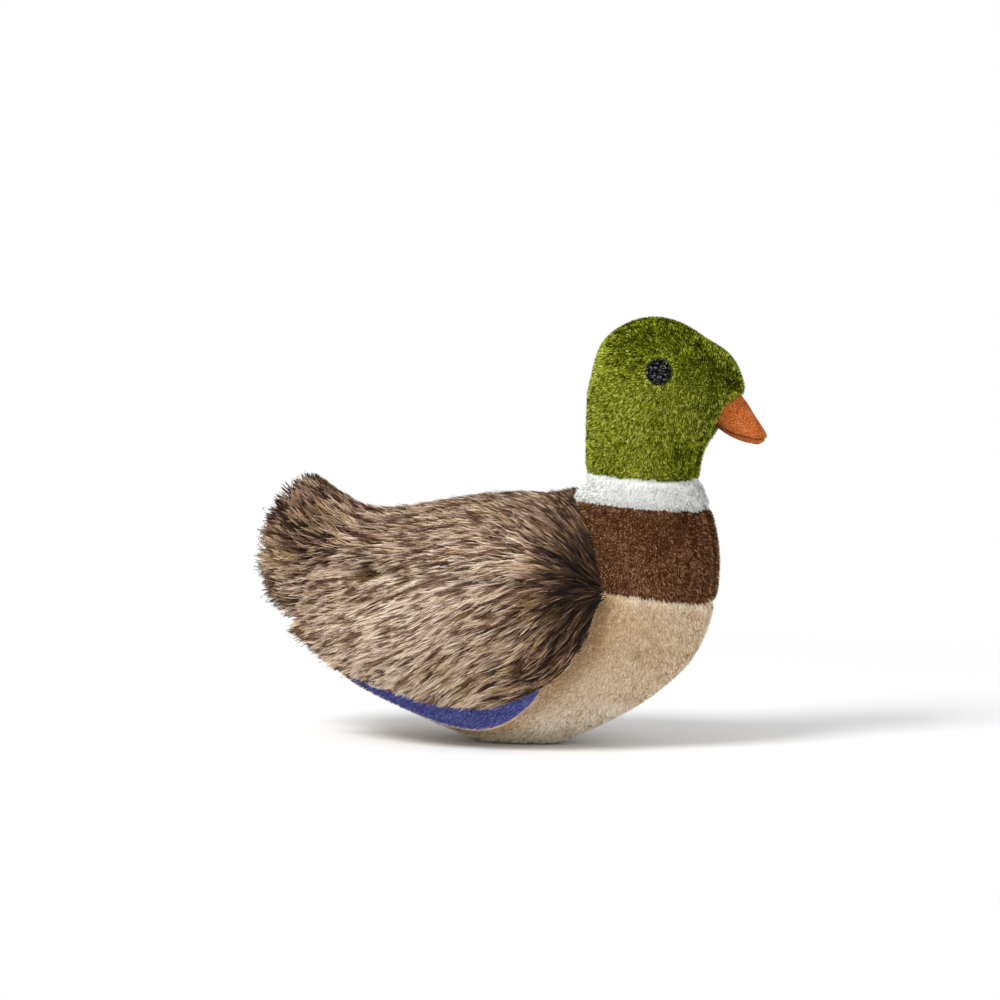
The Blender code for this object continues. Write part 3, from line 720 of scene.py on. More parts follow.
class Shader:
    """A material's nodes, added one at a time."""

    def __init__(self, name: str) -> None:
        """Starts an empty material.

        Args:
            name: the material's name.
        """
        self.material = bpy.data.materials.new(name)
        self.material.use_nodes = True
        self.tree = self.material.node_tree
        self.surface = self.tree.nodes["Principled BSDF"]

    def add(self, kind: str, **settings: object) -> bpy.types.Node:
        """Adds a node.

        Args:
            kind: its kind.
            settings: what to set on it, by name.

        Returns:
            The node.
        """
        node = self.tree.nodes.new(kind)
        for key, value in settings.items():
            setattr(node, key, value)
        return node

    def feed(self, into: Socket, value: object) -> None:
        """Gives a socket its value, which may be another socket.

        Args:
            into: the socket that is fed.
            value: a plain value, or the socket that it comes from.
        """
        if isinstance(value, Socket):
            self.tree.links.new(value, into)
        else:
            into.default_value = value

    def maths(self, operation: str, first: object, second: object = 0.0) -> Socket:
        """Works out a sum.

        Args:
            operation: what is done.
            first: the first value or socket.
            second: the second one.

        Returns:
            The result's socket.
        """
        node = self.add("ShaderNodeMath", operation=operation)
        for socket, value in zip(node.inputs, (first, second)):
            self.feed(socket, value)
        return node.outputs[0]

    def ramp(self, at: Socket, colours: Sequence[Colour]) -> Socket:
        """Picks a colour from a row of them.

        Args:
            at: the value from 0 to 1 that picks it.
            colours: evenly spaced screen colours.

        Returns:
            The colour's socket.
        """
        node = self.add("ShaderNodeValToRGB")
        elements = node.color_ramp.elements
        for i, colour in enumerate(colours):
            place = i / (len(colours) - 1)
            element = elements[i] if i < 2 else elements.new(place)
            element.position = place
            element.color = (*(linear(value) for value in colour), 1.0)
        self.feed(node.inputs[0], at)
        return node.outputs[0]

    def blend(self, kind: str, share: object, first: object, second: object) -> Socket:
        """Mixes two colours.

        Args:
            kind: which of Blender's ways.
            share: how much of the second one.
            first: the first colour or socket.
            second: the second one.

        Returns:
            The mixed colour's socket.
        """
        node = self.add("ShaderNodeMix", data_type="RGBA", blend_type=kind)
        for place, value in ((0, share), (6, first), (7, second)):
            self.feed(node.inputs[place], value)
        return node.outputs[2]

    def noise(self, size: float, detail: float, seed: float) -> Socket:
        """Returns noise in the object's own space.

        Args:
            size: millimetres from one bump to the next.
            detail: how many finer layers it has.
            seed: which noise.

        Returns:
            The noise from 0 to 1.
        """
        place = self.add("ShaderNodeTexCoord")
        mapping = self.add("ShaderNodeMapping")
        mapping.inputs["Location"].default_value = (seed, seed, seed)
        noise = self.add("ShaderNodeTexNoise")
        noise.inputs["Scale"].default_value = 1.0 / (size * UNIT)
        noise.inputs["Detail"].default_value = detail
        self.feed(mapping.inputs[0], place.outputs["Object"])
        self.feed(noise.inputs["Vector"], mapping.outputs[0])
        return noise.outputs["Fac"]

    def paint(self, colour: Socket) -> None:
        """Gives the surface its colour."""
        self.feed(self.surface.inputs["Base Color"], colour)

    def bump(self, height: Socket, depth: float, strength: float) -> None:
        """Roughens the surface.

        Args:
            height: the height from 0 to 1.
            depth: the millimetres that 1 stands for.
            strength: how much of it shows.
        """
        node = self.add("ShaderNodeBump")
        for name, value in (("Strength", strength), ("Distance", depth * UNIT), ("Height", height)):
            self.feed(node.inputs[name], value)
        self.feed(self.surface.inputs["Normal"], node.outputs[0])

    def settle(self, roughness: float, specular: float) -> None:
        """Sets how rough the surface is and how much it mirrors."""
        self.feed(self.surface.inputs["Roughness"], roughness)
        self.feed(self.surface.inputs["Specular IOR Level"], specular)


@dataclass(frozen=True)
class StrandFinish:
    """The look of a cloth's strands: colours from dark to light by tone, darker towards the root by painted
    shade and, in the fur, by its own dark roots.
    """

    name: str
    slot: Slot
    colours: tuple[Colour, ...]
    warm: tuple[Colour, ...] = ()
    root: float = 0.6
    lit_from: float = 0.0
    lit_to: float = 0.55
    grain: float = 0.12
    flecks: float = 0.08
    roughness: float = 0.8
    specular: float = 0.08
    backing_patch: float = 6.0
    backing_tone: float = 0.7
    backing_grain: float = 0.8
    backing_depth: float = 0.4

    def strands(self) -> bpy.types.Material:
        """Makes the material of the strands, which reads tone and place along from their map.

        Returns:
            The material.
        """
        shader = Shader(self.name + "_strands")
        place = shader.add("ShaderNodeUVMap", uv_map=STRAND_MAP)
        parts = shader.add("ShaderNodeSeparateXYZ")
        shader.feed(parts.inputs[0], place.outputs[0])
        tone, where = parts.outputs[0], parts.outputs[1]
        colour = shader.ramp(tone, self.colours)
        if self.warm:
            is_warm = shader.maths("GREATER_THAN", where, WARM_SHIFT)
            colour = shader.blend("MIX", is_warm, colour, shader.ramp(tone, self.warm))
        # Painted shade: each strand darkens from its lit part down to the root's share at its root.
        along = shader.maths("FRACT", shader.maths("MULTIPLY", where, 1.0 / WARM_SHIFT))
        shade = shader.add("ShaderNodeMapRange")
        for name, value in (
            ("From Min", self.lit_from), ("From Max", self.lit_to), ("To Min", self.root), ("Value", along),
        ):
            shader.feed(shade.inputs[name], value)
        dark = shader.add("ShaderNodeCombineColor")
        for socket in dark.inputs:
            shader.feed(socket, shade.outputs[0])
        shader.paint(shader.blend("MULTIPLY", 1.0, colour, dark.outputs[0]))
        shader.settle(self.roughness, self.specular)
        return shader.material

    def backing(self) -> bpy.types.Material:
        """Makes the material of the cloth that the strands stand on, darkened by the same painted shade as
        the strands' roots.

        Returns:
            The material.
        """
        shader = Shader(self.name + "_backing")
        tone = shader.maths("MULTIPLY", shader.noise(self.backing_patch, 5.0, 3.0), self.backing_tone)
        # Painted shade: the backing takes the strands' root darkness.
        dark = (self.root, self.root, self.root, 1.0)
        shader.paint(shader.blend("MULTIPLY", 1.0, shader.ramp(tone, self.colours), dark))
        shader.bump(shader.noise(self.backing_grain, 2.0, 7.0), self.backing_depth, 0.6)
        shader.settle(*DULL)
        return shader.material


GREEN = StrandFinish(
    "green_plush", Slot.GREEN,
    ((30, 33, 2), (64, 72, 2), (108, 119, 6), (152, 161, 34), (192, 199, 76), (226, 229, 124)),
    root=0.50, lit_to=0.75, grain=0.22, flecks=0.25, specular=0.03,
)
WHITE = StrandFinish(
    "white_plush", Slot.WHITE, ((188, 183, 174), (212, 210, 204), (227, 227, 224), (235, 235, 233)),
    root=0.98, grain=0.04, flecks=0.03,
)
BROWN = StrandFinish(
    "brown_plush", Slot.BROWN, ((46, 22, 9), (80, 46, 24), (118, 74, 44), (156, 109, 74), (200, 160, 122)),
    root=0.6, lit_to=0.7, grain=0.17, flecks=0.27,
)
CREAM = StrandFinish(
    "cream_plush", Slot.CREAM,
    ((164, 128, 88), (194, 163, 126), (220, 196, 164), (236, 219, 193), (246, 236, 218)),
    root=0.94, grain=0.14, flecks=0.17,
)
BLUE = StrandFinish(
    "blue_plush", Slot.BLUE, ((30, 28, 66), (50, 52, 108), (76, 80, 146), (106, 112, 178), (156, 160, 214)),
    root=0.7, grain=0.12, flecks=0.10,
)
FUR = StrandFinish(
    "mottled_fur", Slot.FUR,
    (
        (20, 10, 7), (48, 31, 23), (92, 66, 50), (144, 112, 89),
        (192, 164, 138), (226, 204, 180), (246, 234, 216),
    ),
    warm=(
        (26, 14, 6), (60, 38, 20), (102, 74, 46), (152, 118, 80),
        (198, 168, 126), (228, 206, 168), (244, 230, 204),
    ),
    root=0.30, lit_from=0.15, lit_to=0.7, roughness=0.6, specular=0.12,
)


@dataclass(frozen=True)
class SuedeFinish:
    """Brushed orange cloth, darker where the shade attribute of the piece is low."""

    colours: tuple[Colour, ...] = ((64, 20, 6), (122, 52, 18), (168, 84, 34), (198, 116, 60), (228, 160, 106))
    nap: float = 0.35
    contrast: float = 2.1
    patch: float = 4.0
    patch_contrast: float = 0.5
    lightness: float = 0.27

    def material(self) -> bpy.types.Material:
        """Makes the material.

        Returns:
            The material.
        """
        shader = Shader("orange_suede")
        fine = shader.noise(self.nap, 3.0, 1.0)
        broad = shader.maths("MULTIPLY", shader.noise(self.patch, 2.0, 5.0), self.patch_contrast)
        tone = shader.maths("ADD", shader.maths("MULTIPLY", fine, self.contrast), broad)
        colour = shader.ramp(shader.maths("SUBTRACT", tone, self.contrast / 2 - self.lightness), self.colours)
        shade = shader.add("ShaderNodeAttribute", attribute_name="shade")
        shader.paint(shader.blend("MULTIPLY", 1.0, colour, shade.outputs["Color"]))
        shader.bump(fine, self.nap, 0.9)
        shader.settle(*DULL)
        return shader.material


@dataclass(frozen=True)
class ThreadFinish:
    """Black satin-stitch thread with small pale glints painted into its colour."""

    colours: tuple[Colour, ...] = ((1, 1, 2), (2, 2, 3), (6, 6, 7), (36, 36, 38), (130, 130, 136))
    painted_glint: float = 0.6
    contrast: float = 5.5
    darkness: float = 2.6
    twist: float = 0.5
    twist_depth: float = 0.2
    roughness: float = 0.4
    specular: float = 0.08

    def material(self) -> bpy.types.Material:
        """Makes the material.

        Returns:
            The material.
        """
        shader = Shader("black_thread")
        # Painted glints: pale specks of colour noise stand in for the thread's highlights.
        painted_glint = shader.maths("MULTIPLY", shader.noise(self.painted_glint, 1.0, 2.0), self.contrast)
        shader.paint(shader.ramp(shader.maths("SUBTRACT", painted_glint, self.darkness), self.colours))
        shader.bump(shader.noise(self.twist, 1.0, 4.0), self.twist_depth, 0.8)
        shader.settle(self.roughness, self.specular)
        return shader.material


@dataclass
class Strands:
    """Many strands of pile, each a narrow ribbon of real width along its own spine."""

    spine: Array
    facing: Array
    width: Array
    tone: Array
    warm: Array
    roll: float = 0.6
    least_width: float = 0.2
    roundness: float = 0.35

    def piece(self, name: str, finish: StrandFinish, seed: int) -> bpy.types.Object:
        """Makes the ribbons.

        Args:
            name: the piece's name.
            finish: the look of the strands.
            seed: which chance turns them.

        Returns:
            The new object.
        """
        count, joints = self.spine.shape[:2]
        rng = np.random.default_rng(seed)
        facing = self.facing[:, None, :]
        along = unit(np.gradient(self.spine, axis=1))
        side = spun(unit(np.cross(along, facing)), along, rng.normal(0.0, self.roll, count)[:, None, None])
        share = np.linspace(0.0, 1.0, joints)
        own = np.cross(side, along)
        turned = np.sign(np.sum(own * facing, axis=(1, 2), keepdims=True) + TINY)
        side, own = side * turned, own * turned
        taper = self.least_width + (1.0 - self.least_width) * np.sqrt(1.0 - share)
        half = (self.width[:, None] / 2.0 * taper[None, :])[:, :, None]
        edges = np.stack([self.spine + side * half, self.spine - side * half], axis=2)
        edges[..., 2] = np.maximum(edges[..., 2], STRAND_FLOOR)
        start = (np.arange(count)[:, None] * joints + np.arange(joints - 1)[None, :]) * 2
        quads = np.stack([start, start + 2, start + 3, start + 1], axis=2).reshape(-1, 4)
        mesh = mesh_of(name, edges.reshape(-1, 3), quads)
        self.map_tones(mesh, quads, share)
        shading = FACING_SHARE * facing + (1.0 - FACING_SHARE) * own
        shading = unit(np.stack([shading + self.roundness * side, shading - self.roundness * side], axis=2))
        mesh.normals_split_custom_set_from_vertices(shading.reshape(-1, 3).tolist())
        return make_piece(name, mesh, finish.strands())

    def map_tones(self, mesh: bpy.types.Mesh, quads: Array, share: Array) -> None:
        """Writes each strand's tone, and the place along it, into the mesh's map.

        Args:
            mesh: the ribbons' mesh.
            quads: its faces.
            share: the share along a strand of each of its joints.
        """
        tone = np.clip(self.tone, 0.01, 0.99)[:, None, None] + np.array([-0.003, 0.003])[None, None, :]
        place = 0.01 + 0.48 * share[None, :, None] + WARM_SHIFT * self.warm[:, None, None]
        flat = np.stack(np.broadcast_arrays(tone, place), axis=3).reshape(-1, 2)
        layer = mesh.uv_layers.new(name=STRAND_MAP)
        layer.data.foreach_set("uv", flat[quads.ravel()].astype(np.float32).ravel())


@dataclass
class Form:
    """The smooth outer form of the stuffed body, neck and head."""

    ring_step: float = 1.5
    around: int = 180
    least_step: float = 0.5
    valley_depth: float = 4.8
    valley_width: float = 2.9
    lobe_rise: float = 1.0
    lobe_place: float = 7.5
    lobe_width: float = 4.5
    seam_depth: float = 0.5
    seam_width: float = 1.3
    seam_end: float = 3.0
    seam_ease: float = 8.0

    def __post_init__(self) -> None:
        """Lofts the form through its sections."""
        rows = [
            (*place(top), *place(low), width * full / 2, groove)
            for place, full, table in ((body_place, BODY_SIZE[2], BODY), (head_place, HEAD_SIZE[2], HEAD))
            for top, low, width, groove in table
        ]
        table = capped(np.array(rows), body_place(TAIL_TIP), head_place(CROWN))
        knots = knots_of(table, self.least_step)
        counts = np.ceil(np.maximum(*moves_of(table)) / self.ring_step).astype(int)
        spans = [
            np.linspace(knots[i], knots[i + 1], counts[i], endpoint=False) for i in range(1, len(knots) - 2)
        ]
        sections = flowing(knots, table, np.concatenate(spans)[1:])
        rings = rings_of(sections, self.around)
        centres = in_middle((sections[:, 0:2] + sections[:, 2:4]) / 2)[:, None, :]
        rings += unit(centres - rings) * self.sunk(sections, rings[:, :, 1])[:, :, None]
        ends = in_middle(table[[1, -2], 0:2])
        points = self.rested(np.concatenate([ends[:1], rings.reshape(-1, 3), ends[1:]]))
        last = 1 + (len(sections) - 1) * self.around
        faces = np.concatenate([
            grid_faces(len(sections), self.around, closed=True) + 1,
            fan(0, 1, self.around)[:, [0, 2, 1]],
            fan(last + self.around, last, self.around),
        ])
        self.surface = Surface.facing_out(points, faces)
        self.outline = np.concatenate([sections[:, 0:2], sections[::-1, 2:4]])
        self.tree = BVHTree.FromPolygons(points.tolist(), self.surface.faces.tolist())

    def sunk(self, sections: Array, across: Array) -> Array:
        """Finds how deep the middle seam and the valley down the front pull the form in.

        Args:
            sections: the form's sections.
            across: how far from the middle plane each point of the rings lies.

        Returns:
            The depth at each point, below 0 on the lobes beside the valley.
        """
        lobes = self.lobe_rise * bell(np.abs(across) - self.lobe_place, self.lobe_width)
        front = smooth(-np.cos(turns(self.around)) * 3.0)[None, :]
        valley = sections[:, None, 5] * (self.valley_depth * bell(across, self.valley_width) - lobes) * front
        ends = smooth((np.abs(sections[:, None, 4]) - self.seam_end) / self.seam_ease)
        return valley + self.seam_depth * bell(across, self.seam_width) * ends

    @staticmethod
    def rested(points: Array) -> Array:
        """Presses the belly flat on the ground.

        Args:
            points: the form's points.

        Returns:
            The points, with none below the ground.
        """
        over = points[:, 2] + FLAT_DEPTH
        pressed = np.maximum(over, 0.0) ** 2 / PRESS_HEIGHT - FLAT_DEPTH
        low = np.where(over < PRESS_HEIGHT, pressed, points[:, 2])
        return np.column_stack([points[:, :2], np.maximum(low, 0.0)])

    def nearest(self, points: Array) -> tuple[Array, Array]:
        """Returns the nearest places on the form and the normals there."""
        found = [self.tree.find_nearest(point) for point in points.tolist()]
        return np.array([row[0] for row in found]), np.array([row[1] for row in found])

    def half_width(self, x: float, z: float) -> float:
        """Returns the form's half width at an (x, z) place, or 0 beyond its outline."""
        hit = self.tree.ray_cast(Vector((x, FAR_OUT, z)), Vector((0.0, -1.0, 0.0)))[0]
        return hit.y if hit else 0.0

    def laid(self, points: Array, height: Array) -> Array:
        """Returns the points moved to a height each above the form."""
        near, normals = self.nearest(points)
        return near + normals * height[:, None]


@dataclass(frozen=True)
class Pile:
    """How a short plush stands: strands by the square millimetre, their size, and how they lift and lean."""

    density: float
    length: float
    width: float
    lift: float
    loose: float = 8.0
    swirl: float = 40.0
    sway: float = 18.0
    curl: float = 1.6
    lift_change: float = 14.0
    least_lift: float = 8.0
    most_lift: float = 85.0
    grain_size: float = 1.0
    patch: float = 0.06
    patch_size: float = 9.0

    def lengths(self, count: int, rng: np.random.Generator) -> Array:
        """Returns the strands' lengths."""
        return self.length * rng.uniform(0.8, 1.15, count)


@dataclass(frozen=True)
class Fur:
    """How the long fur lies, in locks of a few strands, and how it is streaked."""

    density: float = 4.2
    length: float = 8.0
    width: float = 0.30
    in_lock: int = 7
    spread: float = 0.7
    gather: float = 0.7
    sway: float = 7.0
    joints: int = 4
    streak_area: float = 4.2
    streak_length: float = 5.0
    streak_tone: float = 0.16
    dark_share: float = 0.42
    strand_tone: float = 0.12

    def sways(self, locks: int, rng: np.random.Generator) -> Array:
        """Returns the angle by which each lock turns off the flow."""
        return np.radians(rng.normal(0.0, self.sway, locks))

    def strays(self, count: int, rng: np.random.Generator) -> Array:
        """Returns how far along and across the flow each strand's root strays from its lock's middle."""
        return rng.normal(0.0, self.spread, (count, 2)) * np.array([2.0, 0.8])

    def lengths(self, longest: Array, lock: Array, rng: np.random.Generator) -> Array:
        """Draws the strands' lengths.

        Args:
            longest: the most that each lock has room for.
            lock: the lock of each strand.
            rng: the source of chance.

        Returns:
            The length of each strand.
        """
        by_lock = np.minimum(self.length * rng.uniform(0.85, 1.15, len(longest)), longest)
        return by_lock[lock] * rng.uniform(0.85, 1.1, len(lock))

    def widths(self, count: int, rng: np.random.Generator) -> Array:
        """Returns the strands' widths."""
        return self.width * rng.uniform(0.75, 1.2, count)


@dataclass
class Streaks:
    """The dark and light streaks of the mottled fur, each a short run along the flow."""

    tree: KDTree
    offsets: Array
    golden: Array
    strand_tone: float

    @classmethod
    def over(cls, surface: Surface, fur: Fur, rng: np.random.Generator) -> "Streaks":
        """Lays streaks over a surface.

        Args:
            surface: the cloth.
            fur: how the fur lies.
            rng: the source of chance.

        Returns:
            The streaks.
        """
        count = int(surface.areas().sum() / fur.streak_area)
        centres, normals = surface.scatter(count, rng)
        lean = tangent_of(FUR_RUNS.directions(centres), normals)
        steps = np.linspace(-0.5, 0.5, 5) * fur.streak_length
        tree = KDTree(count * len(steps))
        for i in range(count):
            for step in steps:
                tree.insert(centres[i] + lean[i] * step, i)
        tree.balance()
        dark = rng.random(count) < fur.dark_share
        offsets = np.where(dark, -1.5, 0.75) * fur.streak_tone + rng.normal(0.0, 0.3 * fur.streak_tone, count)
        return cls(tree, offsets, rng.random(count), fur.strand_tone)

    def tones(self, points: Array, rng: np.random.Generator) -> tuple[Array, Array]:
        """Finds the tones of strands.

        Args:
            points: a point of each strand.
            rng: the source of chance.

        Returns:
            Each strand's tone, and 1 where it is golden.
        """
        near = np.array([self.tree.find(point)[1] for point in points.tolist()])
        base = Hints(FUR_TONE_AND_SHADE).at(points)
        tone = base[:, 0] + base[:, 1] * self.offsets[near] + 0.05 * mottle(points, 12.0, 22)
        tone = tone + rng.normal(0.0, self.strand_tone, len(points))
        golden = (self.golden[near] < base[:, 2]).astype(float)
        return tone, golden


@dataclass
class Trunk:
    """The body, neck, head and tail: six skins with their pile."""

    form: Form
    pile_depth: float = 1.0
    fur_depth: float = 3.0
    fur_ease: float = 4.0
    seam_depth: float = 2.2
    seam_reach: float = 1.5
    neck_margin: float = 4.0
    thin_depth: float = 0.8
    thin_slope: float = 0.35
    backing: float = 1.4
    fill: float = 0.85
    eye_clear: float = 5.3
    eye_edge: float = 5.0
    eye_ease: float = 1.3
    eye_tone: float = 0.30
    side_from: float = 10.0
    brow_reach: float = 4.5
    brow_growth: float = 1.1
    front_from: float = 45.0
    front_foot: float = 15.0
    front_top: float = 138.0
    valley_width: float = 3.0
    valley_painted_shade: float = 0.5
    valley_bank: float = 5.4
    bank_width: float = 1.2
    bank_painted_highlight: float = 0.15
    seam_width: float = 1.6
    seam_trim: float = 0.75
    wing_shade: float = 0.55
    wing_shadow_reach: float = 5.5
    chest_painted_highlight: float = 0.3
    chest_highlight_reach: float = 2.6
    under_from: float = 4.0
    under_lift: float = 0.5
    under_length: float = 0.75
    under_share: float = 0.6
    most_room: int = 12

    def __post_init__(self) -> None:
        """Roots the pile below the form and finds which region each face belongs to."""
        surface = self.form.surface
        flat = flat_of(surface.points)
        fur_edge = (*CHEST_BACK, WING_CORNER, *TAIL_FOOT)
        self.fur_outline = line_of((*fur_edge, *FUR_FRAME))
        in_fur = smooth(within(flat, self.fur_outline, line_of(fur_edge)) / self.fur_ease + 0.5)
        depth = self.pile_depth + (self.fur_depth - self.pile_depth) * in_fur
        seams = [away_from(flat, line_of(line)) for line in (COLLAR_TOP, COLLAR_FOOT, CHEST_FOOT, CHEST_BACK)]
        neck = flat[:, 0] > line_of(CHEST_BACK)[0][0] - self.neck_margin
        groove = bell(np.min(seams, axis=0), self.seam_reach) * neck
        depth = depth + np.maximum(self.seam_depth - depth, 0.0) * groove
        thin = np.minimum(depth, self.thin_slope * np.abs(surface.points[:, 1]) + self.thin_depth)
        points = surface.points - surface.normals * thin[:, None]
        points[:, 2] = np.maximum(points[:, 2], CLOTH_FLOOR)
        self.root = Surface(points, surface.faces, surface.normals)
        self.regions = self.region_of(flat_of(surface.points[surface.faces].mean(axis=1)))

    def region_of(self, flat: Array) -> Array:
        """Finds the region of each (x, z) place.

        Args:
            flat: the places.

        Returns:
            The region's number for each place.
        """
        def above(line: Sequence[Sequence[float]]) -> Array:
            """Returns whether each place is above a line."""
            points = line_of(line)
            return flat[:, 1] > np.interp(flat[:, 0], points[:, 0], points[:, 1])

        region = np.full(len(flat), Region.BELLY.value)
        for start, line, found in (
            (30.0, CHEST_FOOT, Region.CHEST),
            (0.0, COLLAR_FOOT, Region.COLLAR),
            (20.0, COLLAR_TOP, Region.HEAD),
        ):
            region[(flat[:, 0] > start) & above(line)] = found.value
        fur = inside(flat, self.fur_outline) & (region != Region.HEAD.value)
        region[fur] = Region.BACK.value
        region[fur & inside(flat, line_of((*TAIL_TOP, *TAIL_FOOT, *TAIL_FRAME)))] = Region.TAIL.value
        return region

    def cloth_of(self, region: Region) -> Surface:
        """Returns the part of the roots' surface that belongs to a region."""
        return self.root.part(self.regions == region.value)

    def skin(self, region: Region, finish: StrandFinish, *stands_for: str) -> None:
        """Makes a region's cloth.

        Args:
            region: the region.
            finish: its finish.
            stands_for: the CAD nodes that it replaces.
        """
        name = region.word + "_skin"
        points, faces = self.cloth_of(region).shell(self.backing)
        points[:, 2] = np.maximum(points[:, 2], CLOTH_FLOOR)
        piece = make_piece(name, mesh_of(name, points, faces), finish.backing())
        hang(piece, "trunk", self.fill, *stands_for)

    def round_eye(self, roots: Array) -> tuple[Array, Array, Array]:
        """Finds how the pile parts round an eye.

        Args:
            roots: the strands' roots.

        Returns:
            The direction away from the eye, whether the eye covers the root, and how much the pile parts.
        """
        off = in_middle(flat_of(roots) - head_place(EYE_PLACE))
        apart = np.linalg.norm(off, axis=1)
        beside = np.abs(roots[:, 1]) > self.side_from
        parted = np.where(beside, bell(apart - self.eye_edge, self.eye_ease), 0.0)
        return unit(off), (apart < self.eye_clear) & beside, parted

    def over_beak(self, region: Region, roots: Array, normals: Array) -> Array:
        """Returns how much the pile at each root hangs over the beak's foot."""
        away = np.linalg.norm(flat_of(roots) - head_place(BROW), axis=1)
        return bell(away, self.brow_reach) * smooth(normals[:, 0] * 2.0) * (region is Region.HEAD)

    def down_front(self, roots: Array) -> Array:
        """Finds the front that the valley runs down.

        Args:
            roots: the strands' roots.

        Returns:
            How much each root belongs to it.
        """
        x, z = roots[:, 0], roots[:, 2]
        ahead = smooth((x - self.front_from) / 12.0)
        return ahead * smooth((z - self.front_foot) / 30.0) * smooth((self.front_top - z) / 9.0)

    def shaded(self, region: Region, tone: Array, roots: Array, front: Array, wings: Array) -> Array:
        """Paints shade into the valley and the wings' shadow onto the belly's cloth beside them, and paints
        highlights on the valley's banks and on the belly just below the chest seam.

        Args:
            region: the region.
            tone: the strands' tones.
            roots: their roots.
            front: how much each belongs to the front.
            wings: the wings' outline.

        Returns:
            The new tones.
        """
        # Painted shade down the valley, and painted highlights on its banks.
        valley = front * bell(roots[:, 1], self.valley_width)
        bank = bell(np.abs(roots[:, 1]) - self.valley_bank, self.bank_width)
        tone = tone - self.valley_painted_shade * valley + self.bank_painted_highlight * front * bank
        if region is Region.BELLY:
            flat = flat_of(roots)
            aside = np.abs(roots[:, 1]) > self.side_from
            # Painted shadow of the wing's front edge on the belly, and a painted highlight just below the
            # chest seam.
            beside = bell(away_from(flat, wings), self.wing_shadow_reach) * aside
            below = bell(away_from(flat, line_of(CHEST_FOOT)), self.chest_highlight_reach)
            tone = tone - self.wing_shade * beside + self.chest_painted_highlight * below * (1.0 - beside)
        return tone

    def short_pile(
        self,
        region: Region,
        finish: StrandFinish,
        tones: Hints,
        wings: Array,
        pile: Pile,
    ) -> None:
        """Makes a region's short pile.

        Args:
            region: the region.
            finish: its finish.
            tones: how light it is by place.
            wings: the wings' outline, under which the pile is pressed.
            pile: how it stands.
        """
        rng = np.random.default_rng(PILE_SEED + region.value)
        surface = self.cloth_of(region)
        roots, normals = surface.scatter(surface.room_for(pile.density), rng)
        count = len(roots)
        keep = np.ones(count, bool)
        lean = tangent_of(PLUSH_RUNS.directions(roots), normals)
        tone = tones.at(roots)[:, 0]
        if region is Region.HEAD:
            way, covered, parted = self.round_eye(roots)
            keep &= ~covered
            lean = tangent_of(lean * (1.0 - parted[:, None]) + way * parted[:, None], normals)
            # Painted sheen: the pile is lighter where it parts round the eye.
            tone = tone + self.eye_tone * parted
        over = self.over_beak(region, roots, normals)
        lean = unit(lean * (1.0 - over[:, None]) + everywhere(BROW_FALL, normals) * over[:, None])
        turn = mottle(roots, pile.curl, 11) * pile.swirl + rng.normal(0.0, pile.sway, count)
        lean = spun(lean, normals, np.radians(turn)[:, None])
        under = inside(flat_of(roots), wings) & (np.abs(roots[:, 1]) > self.under_from)
        lift = pile.lift + mottle(roots, pile.curl, 12) * pile.lift_change
        lift = lift + rng.normal(0.0, pile.loose, count)
        lift = np.radians(np.clip(lift, pile.least_lift, pile.most_lift))
        lift = np.where(under, lift * self.under_lift, lift)[:, None]
        front = self.down_front(roots)
        tone = self.shaded(region, tone, roots, front, wings)
        length = pile.lengths(count, rng) * np.where(under, self.under_length, 1.0)
        trim = 1.0 - self.seam_trim * (front * bell(roots[:, 1], self.seam_width))
        length = length * trim * (1.0 + self.brow_growth * over)
        spine = straight(roots, risen(normals, lean, lift), length)
        grain = finish.grain * mottle(roots, pile.grain_size, 13)
        tone = tone + grain + pile.patch * mottle(roots, pile.patch_size, 14)
        tone = tone + rng.normal(0.0, finish.flecks, count)
        keep &= ~under | (rng.random(count) < self.under_share)
        left = keep.sum()
        strands = Strands(spine[keep], normals[keep], np.full(left, pile.width), tone[keep], np.zeros(left))
        piece = strands.piece(region.word + "_pile", finish, STRAND_SEED + region.value)
        hang(piece, "trunk", self.fill)

    def long_fur(self, region: Region, fur: Fur, seed: int) -> None:
        """Makes the fur of the back or the tail, in locks that hug the form.

        Args:
            region: the region.
            fur: how it lies.
            seed: which chance.
        """
        rng = np.random.default_rng(seed)
        surface = self.cloth_of(region)
        locks = surface.room_for(fur.density, fur.in_lock)
        centres, normals = surface.scatter(locks, rng)
        streaks = Streaks.over(surface, fur, rng)
        lock = np.repeat(np.arange(locks), fur.in_lock)
        count = len(lock)
        way = FUR_RUNS.directions(centres)
        lean = tangent_of(way, normals)
        heading = spun(lean, normals, fur.sways(locks, rng)[:, None])
        out = smooth((np.sum(way * normals, axis=1) - 0.3) / 0.4)[:, None]
        heading = unit(heading * (1.0 - out) + way * out)
        stray = fur.strays(count, rng)
        roots = centres[lock] + heading[lock] * stray[:, :1] + np.cross(normals, lean)[lock] * stray[:, 1:]
        room = np.min([
            room_ahead(flat_of(centres), flat_of(heading), outline, self.most_room)
            for outline in (self.fur_outline, self.form.outline)
        ], axis=0)
        length = fur.lengths(np.maximum(room + rng.uniform(-1.8, 1.2, locks), 2.4), lock, rng)
        tips = centres[lock] + heading[lock] * length[:, None]
        top = np.clip(rng.normal(0.2, 0.45, locks), -0.6, 1.6)[lock] + rng.normal(0.0, 0.25, count)
        spine = []
        for share in np.linspace(0.0, 1.0, fur.joints):
            own = roots + heading[lock] * (length * share)[:, None]
            gathered = own + fur.gather * share ** 2 * (tips - roots - heading[lock] * length[:, None])
            rise = (self.fur_depth + top) * (1.0 - (1.0 - share) ** 1.7)
            laid = self.form.laid(gathered, rise - self.fur_depth)
            loose = gathered + normals[lock] * (rise * 0.6)[:, None]
            hug = self.hold(gathered)[:, None]
            spine.append(laid * hug + loose * (1.0 - hug))
        spine = np.stack(spine, axis=1)
